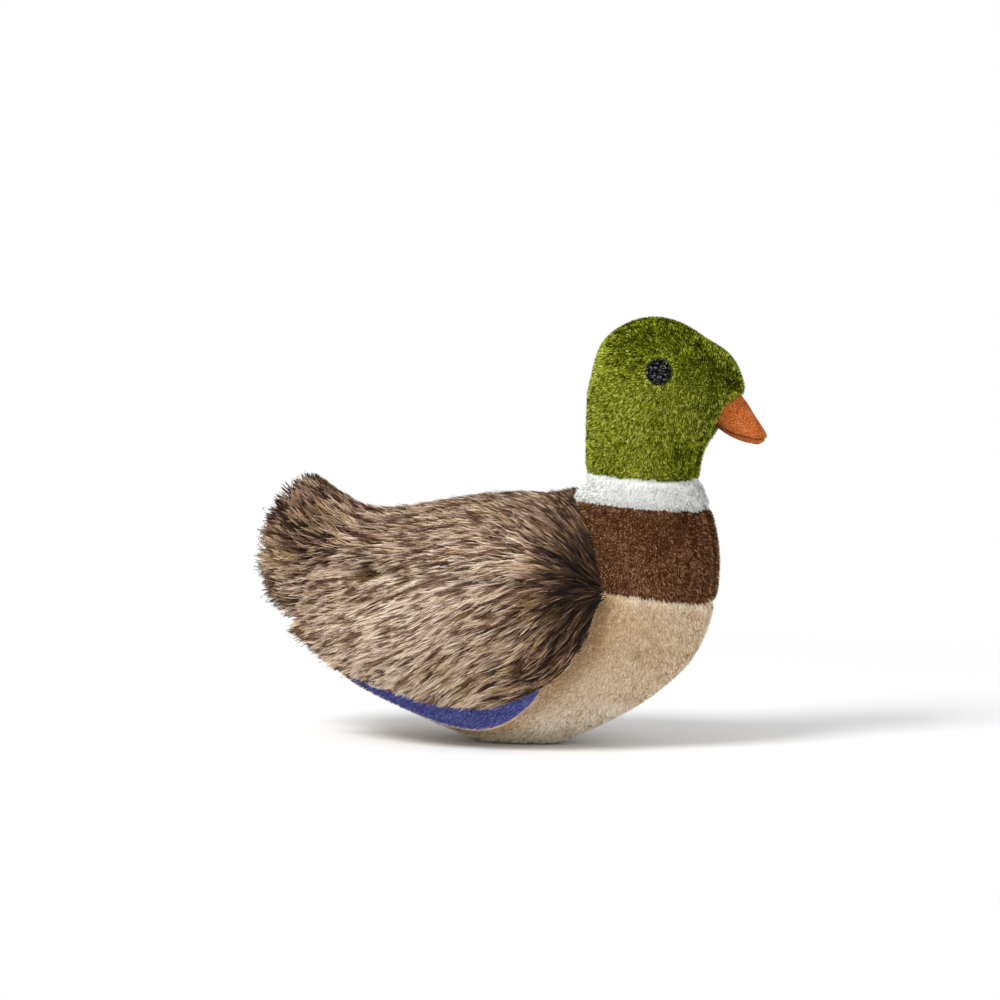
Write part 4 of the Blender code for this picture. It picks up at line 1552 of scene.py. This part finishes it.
        tone, warm = streaks.tones(spine[:, 2], rng)
        strands = Strands(spine, normals[lock], fur.widths(count, rng), tone, warm)
        hang(strands.piece(region.word + "_fur", FUR, seed + 1), "trunk", self.fill)

    def hold(self, points: Array) -> Array:
        """Finds how firmly fur is held to the form: loosely only round the tail's end.

        Args:
            points: points of the fur.

        Returns:
            The hold at each point, from 0 to 1.
        """
        flat = flat_of(points)
        edge = within(flat, self.form.outline, self.form.outline)
        return np.maximum(smooth((flat[:, 0] + 80.0) / 8.0), smooth(edge / 3.0))

    def build(self, wings: Array) -> None:
        """Makes all the trunk's skins and pile.

        Args:
            wings: the wings' outline seen from the side.
        """
        for region, finish, wads in (
            (Region.HEAD, GREEN, ("head_stuffing",)),
            (Region.COLLAR, WHITE, ()),
            (Region.CHEST, BROWN, ()),
            (Region.BELLY, CREAM, ("body_stuffing",)),
            (Region.BACK, FUR, ()),
            (Region.TAIL, FUR, ("tail_stuffing",)),
        ):
            self.skin(region, finish, *(f"{region.word}_panel_{side.word}" for side in Side), *wads)
        for region, finish, tones, pile in (
            (Region.HEAD, GREEN, GREEN_TONE_AND_SHEEN, Pile(7.5, 1.15, 0.36, 56.0, 12.0, swirl=60.0)),
            (Region.COLLAR, WHITE, WHITE_TONE_AND_SHADE, Pile(9.0, 1.3, 0.56, 34.0, 4.0, swirl=12.0)),
            (Region.CHEST, BROWN, BROWN_TONE, Pile(7.0, 1.2, 0.34, 56.0, 10.0)),
            (Region.BELLY, CREAM, CREAM_TONE_LIGHT_AND_SHADE, Pile(6.0, 1.15, 0.38, 46.0)),
        ):
            self.short_pile(region, finish, Hints(tones, TONE_REACH), wings, pile)
        self.long_fur(Region.BACK, Fur(), BACK_SEED)
        self.long_fur(Region.TAIL, Fur(in_lock=13, spread=1.0, gather=0.9), TAIL_SEED)


@dataclass
class Flank:
    """How far from the middle plane the wings' inner side lies, on a grid of (x, z) places."""

    form: Form
    clearance: float = 0.5
    cell: float = 1.5
    low: tuple[float, float] = (-112.0, -9.0)
    cells: tuple[int, int] = (120, 66)
    reach: int = 2
    tip_out: float = 9.5
    flare: float = 10.0
    rounds: int = 6

    def __post_init__(self) -> None:
        """Measures the form from the side and smooths what it finds."""
        low = np.array(self.low)
        widths = np.array([
            [self.form.half_width(*(low + self.cell * np.array([i, j]))) for j in range(self.cells[1])]
            for i in range(self.cells[0])
        ])
        wide = widths.copy()
        for i, j in np.ndindex(2 * self.reach + 1, 2 * self.reach + 1):
            wide = np.maximum(wide, np.roll(widths, (i - self.reach, j - self.reach), axis=(0, 1)))
        tip, flat = line_of((WING_EDGE[-1], WING_REAR))[:, 0]
        x = self.low[0] + self.cell * np.arange(self.cells[0])
        free = self.tip_out + self.flare * np.clip((x - tip) / (flat - tip), 0.0, 1.0)
        rest = np.maximum(free[:, None], wide + self.clearance)
        for _ in range(self.rounds):
            blurred = rest.copy()
            for shift in ((1, 0), (-1, 0), (0, 1), (0, -1)):
                blurred += np.roll(rest, shift, axis=(0, 1))
            rest = np.maximum(blurred / 5.0, widths + self.clearance)
        self.rest = rest

    def at(self, places: Array) -> Array:
        """Reads the grid.

        Args:
            places: the (x, z) places.

        Returns:
            How far out the wing's inner side lies at each.
        """
        scaled = np.clip((places - np.array(self.low)) / self.cell, 0.0, np.array(self.rest.shape) - 2.001)
        cell = scaled.astype(int)
        t = scaled - cell
        i, j = cell[:, 0], cell[:, 1]
        near = self.rest[i, j] * (1 - t[:, 1]) + self.rest[i, j + 1] * t[:, 1]
        far = self.rest[i + 1, j] * (1 - t[:, 1]) + self.rest[i + 1, j + 1] * t[:, 1]
        return near * (1 - t[:, 0]) + far * t[:, 0]


@dataclass
class Wing:
    """One wing flap: a lining, a backed pad of fur and a blue band along its lower edge."""

    flank: Flank
    side: Side
    top_drop: float = 1.2
    lining: float = 1.4
    lining_top: float = 2.6
    lining_fill: float = 0.2
    gap: float = 0.3
    fur_full: float = 6.5
    fur_room: float = 3.0
    fur_fill: float = 0.35
    fold_gap: float = 1.2
    band_full: float = 1.8
    band_fill: float = 0.3
    band_tuck: float = 5.0
    band_hem: float = 1.5
    band_span: tuple[float, float] = (4.0 / 15, 12.6 / 15)
    columns: int = 70
    rows: int = 44
    most_room: int = 12
    seam_reach: float = 3.0
    seam_locks: int = 3
    fur: Fur = field(default_factory=Fur)
    pile: Pile = Pile(5.0, 1.3, 0.42, 38.0, 10.0, sway=22.0, most_lift=80.0, grain_size=1.1)

    def place(self, along: Array, down: Array) -> Array:
        """Finds places of the wing.

        Args:
            along: the shares along it, from the shoulder.
            down: the shares down it, from the sewn edge.

        Returns:
            The (x, z) places.
        """
        first, last = line_of((SHOULDER, WING_CORNER))
        top = first + along[:, None] * (last - first) - np.array([0.0, self.top_drop])
        knots = np.linspace(0.0, 1.0, len(WING_EDGE))
        return top + down[:, None] * (flowing(knots, line_of(WING_EDGE), along) - top)

    def sewn_edge(self, along: Array) -> Array:
        """Returns the (x, z) places of the sewn edge at shares along it."""
        return self.place(along, 0.0 * along)

    def column_length(self, along: Array) -> Array:
        """Returns the wing's depth at shares along it."""
        return np.linalg.norm(self.place(along, np.ones(len(along))) - self.sewn_edge(along), axis=1)

    def fold(self, along: Array) -> Array:
        """Returns the share down the wing at which the band shows."""
        return flowing(np.linspace(0.0, 1.0, len(WING_FOLD)), np.array(WING_FOLD)[:, None], along)[:, 0]

    @staticmethod
    def swell(along: Array, down: Array) -> Array:
        """Returns the share of its full thickness that the wing has."""
        ends = np.sqrt(np.sin(math.pi * (0.05 + 0.9 * np.clip(along, 0.0, 1.0))))
        return ends * np.sin(math.pi * (0.06 + 0.72 * np.clip(down, 0.0, 1.0)))

    def outward(self, places: Array, height: Array) -> Array:
        """Returns the points of space at a height above the wing's inner side."""
        away = self.flank.at(places) + height
        return np.column_stack([places[:, 0], self.side.value * away, places[:, 1]])

    def slab(
        self,
        name: str,
        along: Array,
        start: Array,
        end: Array,
        low: float,
        high: Callable[[Array, Array], Array],
        rows: int,
    ) -> tuple[bpy.types.Mesh, Surface]:
        """Makes a closed layer of the wing.

        Args:
            name: the mesh's name.
            along: the columns' shares along the wing.
            start: the share down at which each column starts.
            end: the share down at which each column ends.
            low: the height of its inner side.
            high: gives the height of its outer side by along and down.
            rows: how many rows of points it has.

        Returns:
            The mesh, and its outer side.
        """
        share = np.linspace(0.0, 1.0, rows)
        a = np.repeat(along, rows)
        d = (start[:, None] + (end - start)[:, None] * share[None, :]).ravel()
        places = self.place(a, d)
        faces = grid_faces(len(along), rows, closed=False)
        outer = self.outward(places, high(a, d))
        if normals_of(outer, faces)[:, 1].sum() * self.side.value < 0:
            faces = faces[:, ::-1]
        surface = Surface(outer, faces, normals_of(outer, faces))
        points, closed = surface.shell(self.lining)
        points[len(outer):] = self.outward(places, np.full(len(a), low))
        return mesh_of(name, points, closed), surface

    def dress(self, piece: bpy.types.Object, fill: float, *stands_for: str) -> None:
        """Hangs a piece on the wing's body."""
        hang(piece, f"wing_{self.side.word}", fill, *stands_for)

    def make_lining(self) -> None:
        """Makes the cream cloth at the back of the wing."""
        along = np.linspace(0.008, 0.98, self.columns)
        length = self.column_length(along)
        end = 1.0 - (0.2 + 1.8 * smooth((0.40 - along) * 10.0)) / length
        name = f"wing_lining_cloth_{self.side.word}"

        def high(a: Array, d: Array) -> Array:
            """Returns the height of the lining's outer side."""
            return np.full(len(a), self.lining)

        mesh, _ = self.slab(name, along, self.lining_top / length, end, 0.0, high, self.rows)
        piece = make_piece(name, mesh, CREAM.backing())
        self.dress(piece, self.lining_fill, f"wing_lining_{self.side.word}")

    def make_pad(self) -> Surface:
        """Makes the backed pad that the fur stands on.

        Returns:
            Its outer side.
        """
        along = np.linspace(0.0, 0.985, self.columns)
        end = self.fold(along) - self.fold_gap / self.column_length(along)
        low = self.lining + self.gap

        def high(a: Array, d: Array) -> Array:
            """Returns the height of the fur's roots."""
            return low + np.maximum(0.3, self.fur_full * self.swell(a, d) - self.fur_room)

        name = f"wing_pad_{self.side.word}"
        mesh, surface = self.slab(name, along, 0.0 * along, end, low, high, self.rows)
        piece = make_piece(name, mesh, FUR.backing())
        self.dress(piece, self.fur_fill, f"wing_fur_{self.side.word}")
        return surface

    def root_locks(self, surface: Surface, rng: np.random.Generator) -> tuple[Array, Array, Array, Array]:
        """Roots the fur's locks on the pad, and more of them over the sewn edge.

        Args:
            surface: the pad's outer side.
            rng: the source of chance.

        Returns:
            The locks' middles, their normals, their heights above the inner side and the least height there.
        """
        locks = surface.room_for(self.fur.density, self.fur.in_lock)
        centres, normals = surface.scatter(locks, rng)
        base = np.maximum(np.abs(centres[:, 1]) - self.flank.at(flat_of(centres)), 0.6)
        edge = away_from(flat_of(centres), self.sewn_edge(WING_SHARES))
        seam = np.repeat(np.flatnonzero(edge < self.seam_reach), self.seam_locks)
        over = rng.uniform(0.2, 3.0, len(seam))
        centres = np.concatenate([centres, centres[seam] + over[:, None] * np.array([0.0, 0.0, 1.0])])
        normals = np.concatenate([normals, normals[seam]])
        base = np.concatenate([base, rng.uniform(0.3, 2.2, len(seam))])
        floor = np.concatenate([np.full(locks, self.lining + self.gap), np.full(len(seam), 0.3)])
        return centres, normals, base, floor

    def make_fur(self, surface: Surface, seed: int) -> None:
        """Makes the wing's fur, which frays over the band and past the wing's lower and rear edges.

        Args:
            surface: the pad's outer side.
            seed: which chance.
        """
        rng = np.random.default_rng(seed)
        fur = self.fur
        streaks = Streaks.over(surface, fur, rng)
        centres, normals, base, floor = self.root_locks(surface, rng)
        locks = len(centres)
        lock = np.repeat(np.arange(locks), fur.in_lock)
        count = len(lock)
        low = self.lining + self.gap
        share = WING_SHARES
        above = self.sewn_edge(share) + np.array([0.0, self.seam_reach])
        outline = np.concatenate([above, self.place(share[::-1], self.fold(share[::-1]))])

        def headings(places: Array, turn: Array) -> Array:
            """Finds which way the fur runs.

            Args:
                places: the (x, z) places.
                turn: the angle by which each is turned off the flow.

            Returns:
                The (x, z) direction at each place.
            """
            flat = flat_of(FUR_RUNS.directions(in_middle(places)))
            cos, sin = np.cos(turn), np.sin(turn)
            x, z = flat[:, 0], flat[:, 1]
            return np.stack([x * cos - z * sin, x * sin + z * cos], axis=1)

        flat = flat_of(centres)
        turn = fur.sways(locks, rng) * smooth(away_from(flat, self.place(0.0 * share, share)) / 8.0)
        heading = headings(flat, turn)
        across = np.stack([-heading[:, 1], heading[:, 0]], axis=1)
        stray = fur.strays(count, rng)
        places = flat[lock] + heading[lock] * stray[:, :1] + across[lock] * stray[:, 1:]
        room = room_ahead(flat, heading, outline, self.most_room) + rng.uniform(-2.2, 0.8, locks)
        length = fur.lengths(np.maximum(room, 1.8), lock, rng)
        full = np.maximum(base - low, 0.0) + 2.8
        tip = low + (full * np.clip(rng.normal(0.95, 0.12, locks), 0.7, 1.3))[lock]
        tip = tip + rng.normal(0.0, 0.2, count)
        near_edge = smooth(room_ahead(flat, -heading, outline, 4) / 4.0 + 0.3)[lock]
        tip = low + (tip - low) * (0.45 + 0.55 * near_edge)
        lock_tip = flat[lock] + heading[lock] * length[:, None]
        points = []
        for i, along in enumerate(np.linspace(0.0, 1.0, fur.joints)):
            if i:
                places = places + headings(places, turn[lock]) * (length / (fur.joints - 1))[:, None]
            gathered = places + fur.gather * along ** 3 * 0.5 * (lock_tip - places)
            height = base[lock] + (tip - base[lock]) * (1.0 - (1.0 - along) ** 1.6)
            points.append(self.outward(gathered, np.maximum(height, floor[lock])))
        spine = np.stack(points, axis=1)
        tone, warm = streaks.tones(spine[:, 2], rng)
        strands = Strands(spine, normals[lock], fur.widths(count, rng), tone, warm)
        self.dress(strands.piece(f"wing_strands_{self.side.word}", FUR, seed + 1), self.fur_fill)

    def make_band(self, seed: int) -> None:
        """Makes the blue band and its short pile.

        Args:
            seed: which chance.
        """
        along = np.linspace(*self.band_span, 60)
        start = self.fold(along) - self.band_tuck / self.column_length(along)
        middle = smooth((along - along[0]) * 30.0) * smooth((along[-1] - along) * 15.0)
        end = 1.0 - (self.band_hem + 1.2 * (1.0 - middle)) / self.column_length(along)
        low = self.lining + self.gap

        def high(a: Array, d: Array) -> Array:
            """Returns the height of the band's cloth, thinner at its ends."""
            ends = np.clip((a - along[0]) * (along[-1] - a) * 60.0, 0.0, 1.0)
            return low + 0.3 + self.band_full * self.swell(a, d) * ends

        name = f"wing_band_cloth_{self.side.word}"
        mesh, surface = self.slab(name, along, start, end, low, high, 16)
        piece = make_piece(name, mesh, BLUE.backing())
        self.dress(piece, self.band_fill, f"wing_band_{self.side.word}")
        pile = self.pile
        rng = np.random.default_rng(seed)
        roots, normals = surface.scatter(surface.room_for(pile.density), rng)
        count = len(roots)
        turn = np.radians(rng.normal(0.0, pile.sway, count))[:, None]
        lean = spun(everywhere(BAND_LEAN, normals), normals, turn)
        lift = np.clip(rng.normal(pile.lift, pile.loose, count), pile.least_lift, pile.most_lift)
        rise = risen(normals, lean, np.radians(lift)[:, None])
        spine = straight(roots, rise, pile.lengths(count, rng))
        tone = Hints(BLUE_TONE, TONE_REACH).at(roots)[:, 0] + BLUE.grain * mottle(roots, pile.grain_size, 15)
        tone = tone + rng.normal(0.0, BLUE.flecks, count)
        strands = Strands(spine, normals, np.full(count, pile.width), tone, np.zeros(count))
        self.dress(strands.piece(f"wing_band_pile_{self.side.word}", BLUE, seed + 1), self.band_fill)

    def build(self) -> None:
        """Makes all of the wing."""
        seed = WING_SEEDS[self.side.word]
        self.make_lining()
        self.make_fur(self.make_pad(), seed)
        self.make_band(seed + 5)

    def outline(self) -> Array:
        """Returns the wing's outline seen from the side."""
        share = np.linspace(0.0, 1.0, 40)
        return np.concatenate([self.sewn_edge(share), self.place(share[::-1], 1.0 + 0.0 * share)])


@dataclass
class Beak:
    """The stuffed beak: upper and lower cloth that meet in a seam along its side."""

    thickness: float = 0.9
    fill: float = 0.9
    seam_width: float = 0.42
    seam_depth: float = 0.45
    seam_shade: float = 0.6
    pucker: float = 0.12
    pucker_size: float = 1.3
    pucker_reach: float = 1.6
    root_light: float = 0.45
    root_reach: float = 7.0
    root_slope: float = 0.35
    root_length: float = 1.0
    least_step: float = 0.2
    rings: int = 90
    around: int = 120

    def surface(self) -> Surface:
        """Lofts the beak.

        Returns:
            Its outer surface.
        """
        tip = beak_place(BEAK_TIP)
        rows = np.array([
            (*beak_place(top), *beak_place(low), width * BEAK_SIZE[2] / 2, 0.0) for top, low, width in BEAK
        ])
        table = capped(rows, (rows[0, 0:2] + rows[0, 2:4]) / 2 - np.array([self.root_length, 0.0]), tip)
        knots = knots_of(table, self.least_step)
        at = knots[3] + (knots[-2] - knots[3]) * np.linspace(0.0, 1.0, self.rings + 1)[:-1] ** 0.8
        rings = rings_of(flowing(knots, table, at), self.around).reshape(-1, 3)
        last = (self.rings - 1) * self.around
        body = grid_faces(self.rings, self.around, closed=True)
        faces = np.concatenate([body, fan(len(rings), last, self.around)])
        return Surface.facing_out(np.concatenate([rings, in_middle(tip[None])]), faces)

    def build(self) -> None:
        """Makes the upper and the lower cloth of the beak."""
        whole = self.surface()
        seam = np.array([beak_place(share) for share in BEAK_SEAM])
        apart = away_from(flat_of(whole.points), seam)
        groove = bell(apart, self.seam_width)
        pucker = self.pucker * mottle(whole.points, self.pucker_size, 71) * bell(apart, self.pucker_reach)
        whole.points = whole.points - whole.normals * (self.seam_depth * groove + pucker)[:, None]
        # Painted shade: the cloth darkens towards the beak's foot, where the head's pile shadows it, and
        # along the seam's groove.
        foot = beak_place((0.0, 0.0))
        root = whole.points[:, 0] - foot[0] + self.root_slope * (whole.points[:, 2] - foot[1])
        lit = self.root_light + (1.0 - self.root_light) * smooth(root / self.root_reach)
        shade = lit * (1.0 - self.seam_shade * groove)
        middles = whole.points[whole.faces].mean(axis=1)
        upper = middles[:, 2] > np.interp(middles[:, 0], seam[:, 0], seam[:, 1])
        material = SuedeFinish().material()
        for name, chosen, nodes in (
            ("beak_upper_cloth", upper, ("beak_upper", "beak_stuffing")),
            ("beak_lower_cloth", ~upper, ("beak_lower",)),
        ):
            used = np.unique(whole.faces[chosen])
            mesh = mesh_of(name, *whole.part(chosen).shell(self.thickness))
            colours = np.repeat(np.tile(shade[used], 2)[:, None], 4, axis=1)
            layer = mesh.color_attributes.new("shade", "FLOAT_COLOR", "POINT")
            layer.data.foreach_set("color", colours.astype(np.float32).ravel())
            hang(make_piece(name, mesh, material), "trunk", self.fill, *nodes)


@dataclass(frozen=True)
class Stitch:
    """One stitch of thread, from and to a place of the eye's disc, with its end height and its rise."""

    start: Array
    end: Array
    low: float
    rise: float


@dataclass
class Eye:
    """An embroidered eye: short fill stitches inside a border of satin stitches."""

    form: Form
    side: Side
    radius: float = 5.2
    border: float = 1.5
    thread: float = 0.46
    stitches: int = 54
    slant: float = 0.25
    fill_angle: float = 35.0
    fill_lap: float = 0.25
    lane: float = 0.40
    stitch_lap: float = 0.08
    least_stitch: float = 0.3
    joints: int = 7
    sides: int = 6
    disc_rows: int = 10
    disc_around: int = 48
    disc_depth: float = 0.9

    def __post_init__(self) -> None:
        """Finds the eye's place on the head and the two directions across it."""
        place = head_place(EYE_PLACE)
        y = self.form.half_width(*place) * self.side.value
        spot = self.form.nearest(np.array([[place[0], y, place[1]]]))
        self.centre, self.normal = (row[0] for row in spot)
        self.first = unit(np.cross(self.normal, np.array([0.0, 0.0, 1.0])))
        self.second = np.cross(self.normal, self.first)

    def on_head(self, flat: Array, height: Array) -> Array:
        """Returns points of the head at places of the disc and heights above the form."""
        return self.form.laid(self.centre + flat[:, :1] * self.first + flat[:, 1:] * self.second, height)

    def border_stitches(self, rng: np.random.Generator) -> list[Stitch]:
        """Lays the stitches of the border.

        Args:
            rng: the source of chance.

        Returns:
            The stitches.
        """
        made = []
        for i in range(self.stitches):
            angle = 2.0 * math.pi * i / self.stitches + rng.normal(0.0, 0.01)
            spoke = np.array([math.cos(angle), math.sin(angle)])
            skew = np.array([-spoke[1], spoke[0]]) * self.slant
            outer = self.radius + rng.normal(0.0, 0.06)
            made.append(Stitch(spoke * (outer - self.border) - skew, spoke * outer + skew, 0.05, 0.42))
        return made

    def fill_stitches(self, rng: np.random.Generator) -> list[Stitch]:
        """Lays the stitches inside the border, in slanting lanes.

        Args:
            rng: the source of chance.

        Returns:
            The stitches.
        """
        inner = self.radius - self.border + self.fill_lap
        tilt = math.radians(self.fill_angle)
        run, aside = np.array([math.cos(tilt), math.sin(tilt)]), np.array([-math.sin(tilt), math.cos(tilt)])
        made = []
        lane = -inner
        while lane < inner:
            reach = math.sqrt(max(inner * inner - lane * lane, 0.0))
            at = -reach - rng.uniform(0.0, 1.2)
            while at < reach:
                long = rng.uniform(1.0, 1.7)
                ends = max(at, -reach), min(at + long, reach)
                if ends[1] - ends[0] > self.least_stitch:
                    wobble = rng.normal(0.0, 0.09, 2)
                    start, end = (run * ends[k] + aside * (lane + wobble[k]) for k in (0, 1))
                    made.append(Stitch(start, end, -0.12, 0.34))
                at += long - self.stitch_lap
            lane += self.lane
        return made

    def tube(self, stitch: Stitch) -> tuple[Array, Array]:
        """Makes one stitch's thread.

        Args:
            stitch: the stitch.

        Returns:
            Its points and triangles.
        """
        share = np.linspace(0.0, 1.0, self.joints)
        ring = turns(self.sides)
        start, end = stitch.start, stitch.end
        flat = start + share[:, None] * (end - start)
        across = unit(np.array([start[1] - end[1], end[0] - start[0]]))
        thick = self.thread / 2 * np.sqrt(np.clip(np.sin(math.pi * (0.06 + 0.88 * share)), 0.05, 1.0))
        offset = across * (np.cos(ring)[:, None])
        at = (flat[:, None, :] + offset[None, :, :] * thick[:, None, None]).reshape(-1, 2)
        bow = stitch.low + stitch.rise * np.sin(math.pi * share)[:, None]
        points = self.on_head(at, (bow + np.sin(ring)[None, :] * thick[:, None]).ravel())
        middle = np.arange(1, self.sides - 1)
        last = (self.joints - 1) * self.sides
        faces = np.concatenate([
            grid_faces(self.joints, self.sides, closed=True),
            np.stack([0 * middle, middle + 1, middle], axis=1),
            np.stack([0 * middle, middle, middle + 1], axis=1) + last,
        ])
        return points, faces

    def disc(self) -> tuple[Array, Array]:
        """Makes the disc of cloth under the stitches.

        Returns:
            Its points and triangles.
        """
        radii = np.linspace(0.05, self.radius - 0.2, self.disc_rows)
        angle = turns(self.disc_around)
        flat = (radii[:, None, None] * np.stack([np.cos(angle), np.sin(angle)], axis=1)[None]).reshape(-1, 2)
        height = np.repeat(np.where(radii > self.radius - 0.8, -0.25, -0.05), self.disc_around)
        faces = grid_faces(self.disc_rows, self.disc_around, closed=True)
        top = self.on_head(flat, height)
        disc = Surface(top, faces, normals_of(top, faces))
        if (disc.normals @ self.normal).sum() < 0:
            disc = Surface(top, faces[:, ::-1], -disc.normals)
        return disc.shell(self.disc_depth)

    def build(self) -> None:
        """Makes the eye's disc and threads as one piece."""
        rng = np.random.default_rng(EYE_SEED + self.side.value)
        stitches = self.border_stitches(rng) + self.fill_stitches(rng)
        blocks = [*(self.tube(stitch) for stitch in stitches), self.disc()]
        firsts = np.cumsum([0, *(len(points) for points, _ in blocks)])
        points = np.concatenate([points for points, _ in blocks])
        faces = np.concatenate([faces + first for (_, faces), first in zip(blocks, firsts)])
        name = f"eye_thread_{self.side.word}"
        piece = make_piece(name, mesh_of(name, points, faces), ThreadFinish().material())
        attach(piece, "trunk")
        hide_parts(f"eye_{self.side.word}")


@dataclass(frozen=True)
class Lamp:
    """A round soft lamp: its two angles, its distance and size in metres and its power in watts."""

    name: str
    azimuth: float
    elevation: float
    distance: float
    size: float
    power: float


@dataclass
class Studio:
    """The floor, the light and the camera."""

    azimuth: float = 15.0
    elevation: float = 5.0
    lens: float = 200.0
    sensor: float = 36.0
    millimetres_per_pixel: float = 0.4
    pixels: int = 1000
    aim: tuple[float, float] = (-4.8, 96.4)
    lamp_aim: float = 80.0
    lamps: tuple[Lamp, ...] = (
        Lamp("key", -30.0, 46.0, 1.3, 0.55, 15.0),
        Lamp("fill", 60.0, 20.0, 1.5, 1.1, 5.0),
    )
    sky: float = 0.74
    floor_grey: float = 0.84
    floor_rings: tuple[float, ...] = (0.01, 60, 120, 180, 260, 400, 800, 2000, 8000, 40000.0)
    floor_around: int = 96
    fade_from: float = 0.13
    fade_to: float = 0.45
    far: float = 200.0

    def build(self) -> None:
        """Makes the whole studio."""
        self.make_floor()
        self.make_sky()
        for lamp in self.lamps:
            self.make_lamp(lamp)
        self.make_camera()
        bpy.context.scene.view_settings.view_transform = "Standard"

    def make_floor(self) -> None:
        """Makes a wide pale floor that is plain white away from the duck."""
        angle = turns(self.floor_around)
        ring = np.stack([np.cos(angle), np.sin(angle), 0.0 * angle], axis=1)
        points = (np.array(self.floor_rings)[:, None, None] * ring[None]).reshape(-1, 3)
        faces = grid_faces(len(self.floor_rings), self.floor_around, closed=True)[:, ::-1]
        floor = add_object("floor", mesh_of("floor", points, faces))
        shader = Shader("floor")
        shader.surface.inputs["Base Color"].default_value = (*(self.floor_grey,) * 3, 1.0)
        shader.settle(DULL[0], 0.0)
        glow = shader.add("ShaderNodeEmission")
        place = shader.add("ShaderNodeTexCoord")
        measure = shader.add("ShaderNodeVectorMath", operation="LENGTH")
        fade = shader.add("ShaderNodeMapRange", interpolation_type="SMOOTHSTEP")
        camera = shader.add("ShaderNodeLightPath")
        mix = shader.add("ShaderNodeMixShader")
        for into, value in (
            (measure.inputs[0], place.outputs["Object"]),
            (fade.inputs["From Min"], self.fade_from),
            (fade.inputs["From Max"], self.fade_to),
            (fade.inputs["Value"], measure.outputs["Value"]),
            (mix.inputs[0], shader.maths("MULTIPLY", fade.outputs[0], camera.outputs["Is Camera Ray"])),
            (mix.inputs[1], shader.surface.outputs[0]),
            (mix.inputs[2], glow.outputs[0]),
            (shader.tree.nodes["Material Output"].inputs["Surface"], mix.outputs[0]),
        ):
            shader.feed(into, value)
        floor.data.materials.append(shader.material)

    def make_sky(self) -> None:
        """Makes the world's even light, which the camera sees as plain white."""
        world = bpy.data.worlds.new("studio")
        bpy.context.scene.world = world
        world.use_nodes = True
        tree = world.node_tree
        lit = tree.nodes["Background"]
        lit.inputs["Strength"].default_value = self.sky
        seen = tree.nodes.new("ShaderNodeBackground")
        for background in (lit, seen):
            background.inputs["Color"].default_value = (1.0, 1.0, 1.0, 1.0)
        path = tree.nodes.new("ShaderNodeLightPath")
        either = tree.nodes.new("ShaderNodeMath")
        either.operation = "MAXIMUM"
        mix = tree.nodes.new("ShaderNodeMixShader")
        for output, into in (
            (path.outputs["Is Camera Ray"], either.inputs[0]),
            (path.outputs["Is Transmission Ray"], either.inputs[1]),
            (either.outputs[0], mix.inputs[0]),
            (lit.outputs[0], mix.inputs[1]),
            (seen.outputs[0], mix.inputs[2]),
            (mix.outputs[0], tree.nodes["World Output"].inputs["Surface"]),
        ):
            tree.links.new(output, into)

    def make_lamp(self, lamp: Lamp) -> None:
        """Makes a lamp.

        Args:
            lamp: what it is like.
        """
        data = bpy.data.lights.new(lamp.name, "AREA")
        data.shape = "DISK"
        data.size = lamp.size
        data.energy = lamp.power
        aim = Vector((0.0, 0.0, self.lamp_aim * UNIT))
        self.stand(add_object(lamp.name, data), aim, lamp.azimuth, lamp.elevation, lamp.distance)

    @staticmethod
    def stand(
        holder: bpy.types.Object,
        aim: Vector,
        azimuth: float,
        elevation: float,
        distance: float,
    ) -> None:
        """Stands a lamp or a camera so that it looks at a point.

        Args:
            holder: the lamp or camera.
            aim: the point.
            azimuth: the angle round from the duck's right side, in degrees.
            elevation: the angle up, in degrees.
            distance: how far away it stands.
        """
        a, e = math.radians(azimuth), math.radians(elevation)
        way = Vector((math.sin(a) * math.cos(e), -math.cos(a) * math.cos(e), math.sin(e)))
        holder.location = aim + way * distance
        holder.rotation_euler = way.to_track_quat("Z", "Y").to_euler()

    def make_camera(self) -> None:
        """Makes the camera at the photo's angle and scale."""
        data = bpy.data.cameras.new("camera")
        data.lens = self.lens
        data.sensor_width = self.sensor
        data.clip_end = self.far
        a, e = math.radians(self.azimuth), math.radians(self.elevation)
        right = Vector((math.cos(a), math.sin(a), 0.0))
        up = Vector((-math.sin(e) * math.sin(a), math.sin(e) * math.cos(a), math.cos(e)))
        aim = right * self.aim[0] + up * self.aim[1] + Vector((-MIDDLE_X, 0.0, 0.0))
        distance = self.millimetres_per_pixel * self.pixels * self.lens / self.sensor
        camera = add_object("camera", data)
        self.stand(camera, aim, self.azimuth, self.elevation, distance)
        camera.location *= UNIT
        bpy.context.scene.camera = camera


def main() -> None:
    """Dresses the duck and sets up the studio."""
    logging.basicConfig(level=logging.INFO, format="%(message)s")
    form = Form()
    flank = Flank(form)
    wings = [Wing(flank, side) for side in Side]
    Trunk(form).build(wings[0].outline())
    for wing in wings:
        wing.build()
    Beak().build()
    for side in Side:
        Eye(form, side).build()
    Studio().build()


if __name__ == "__main__":
    main()
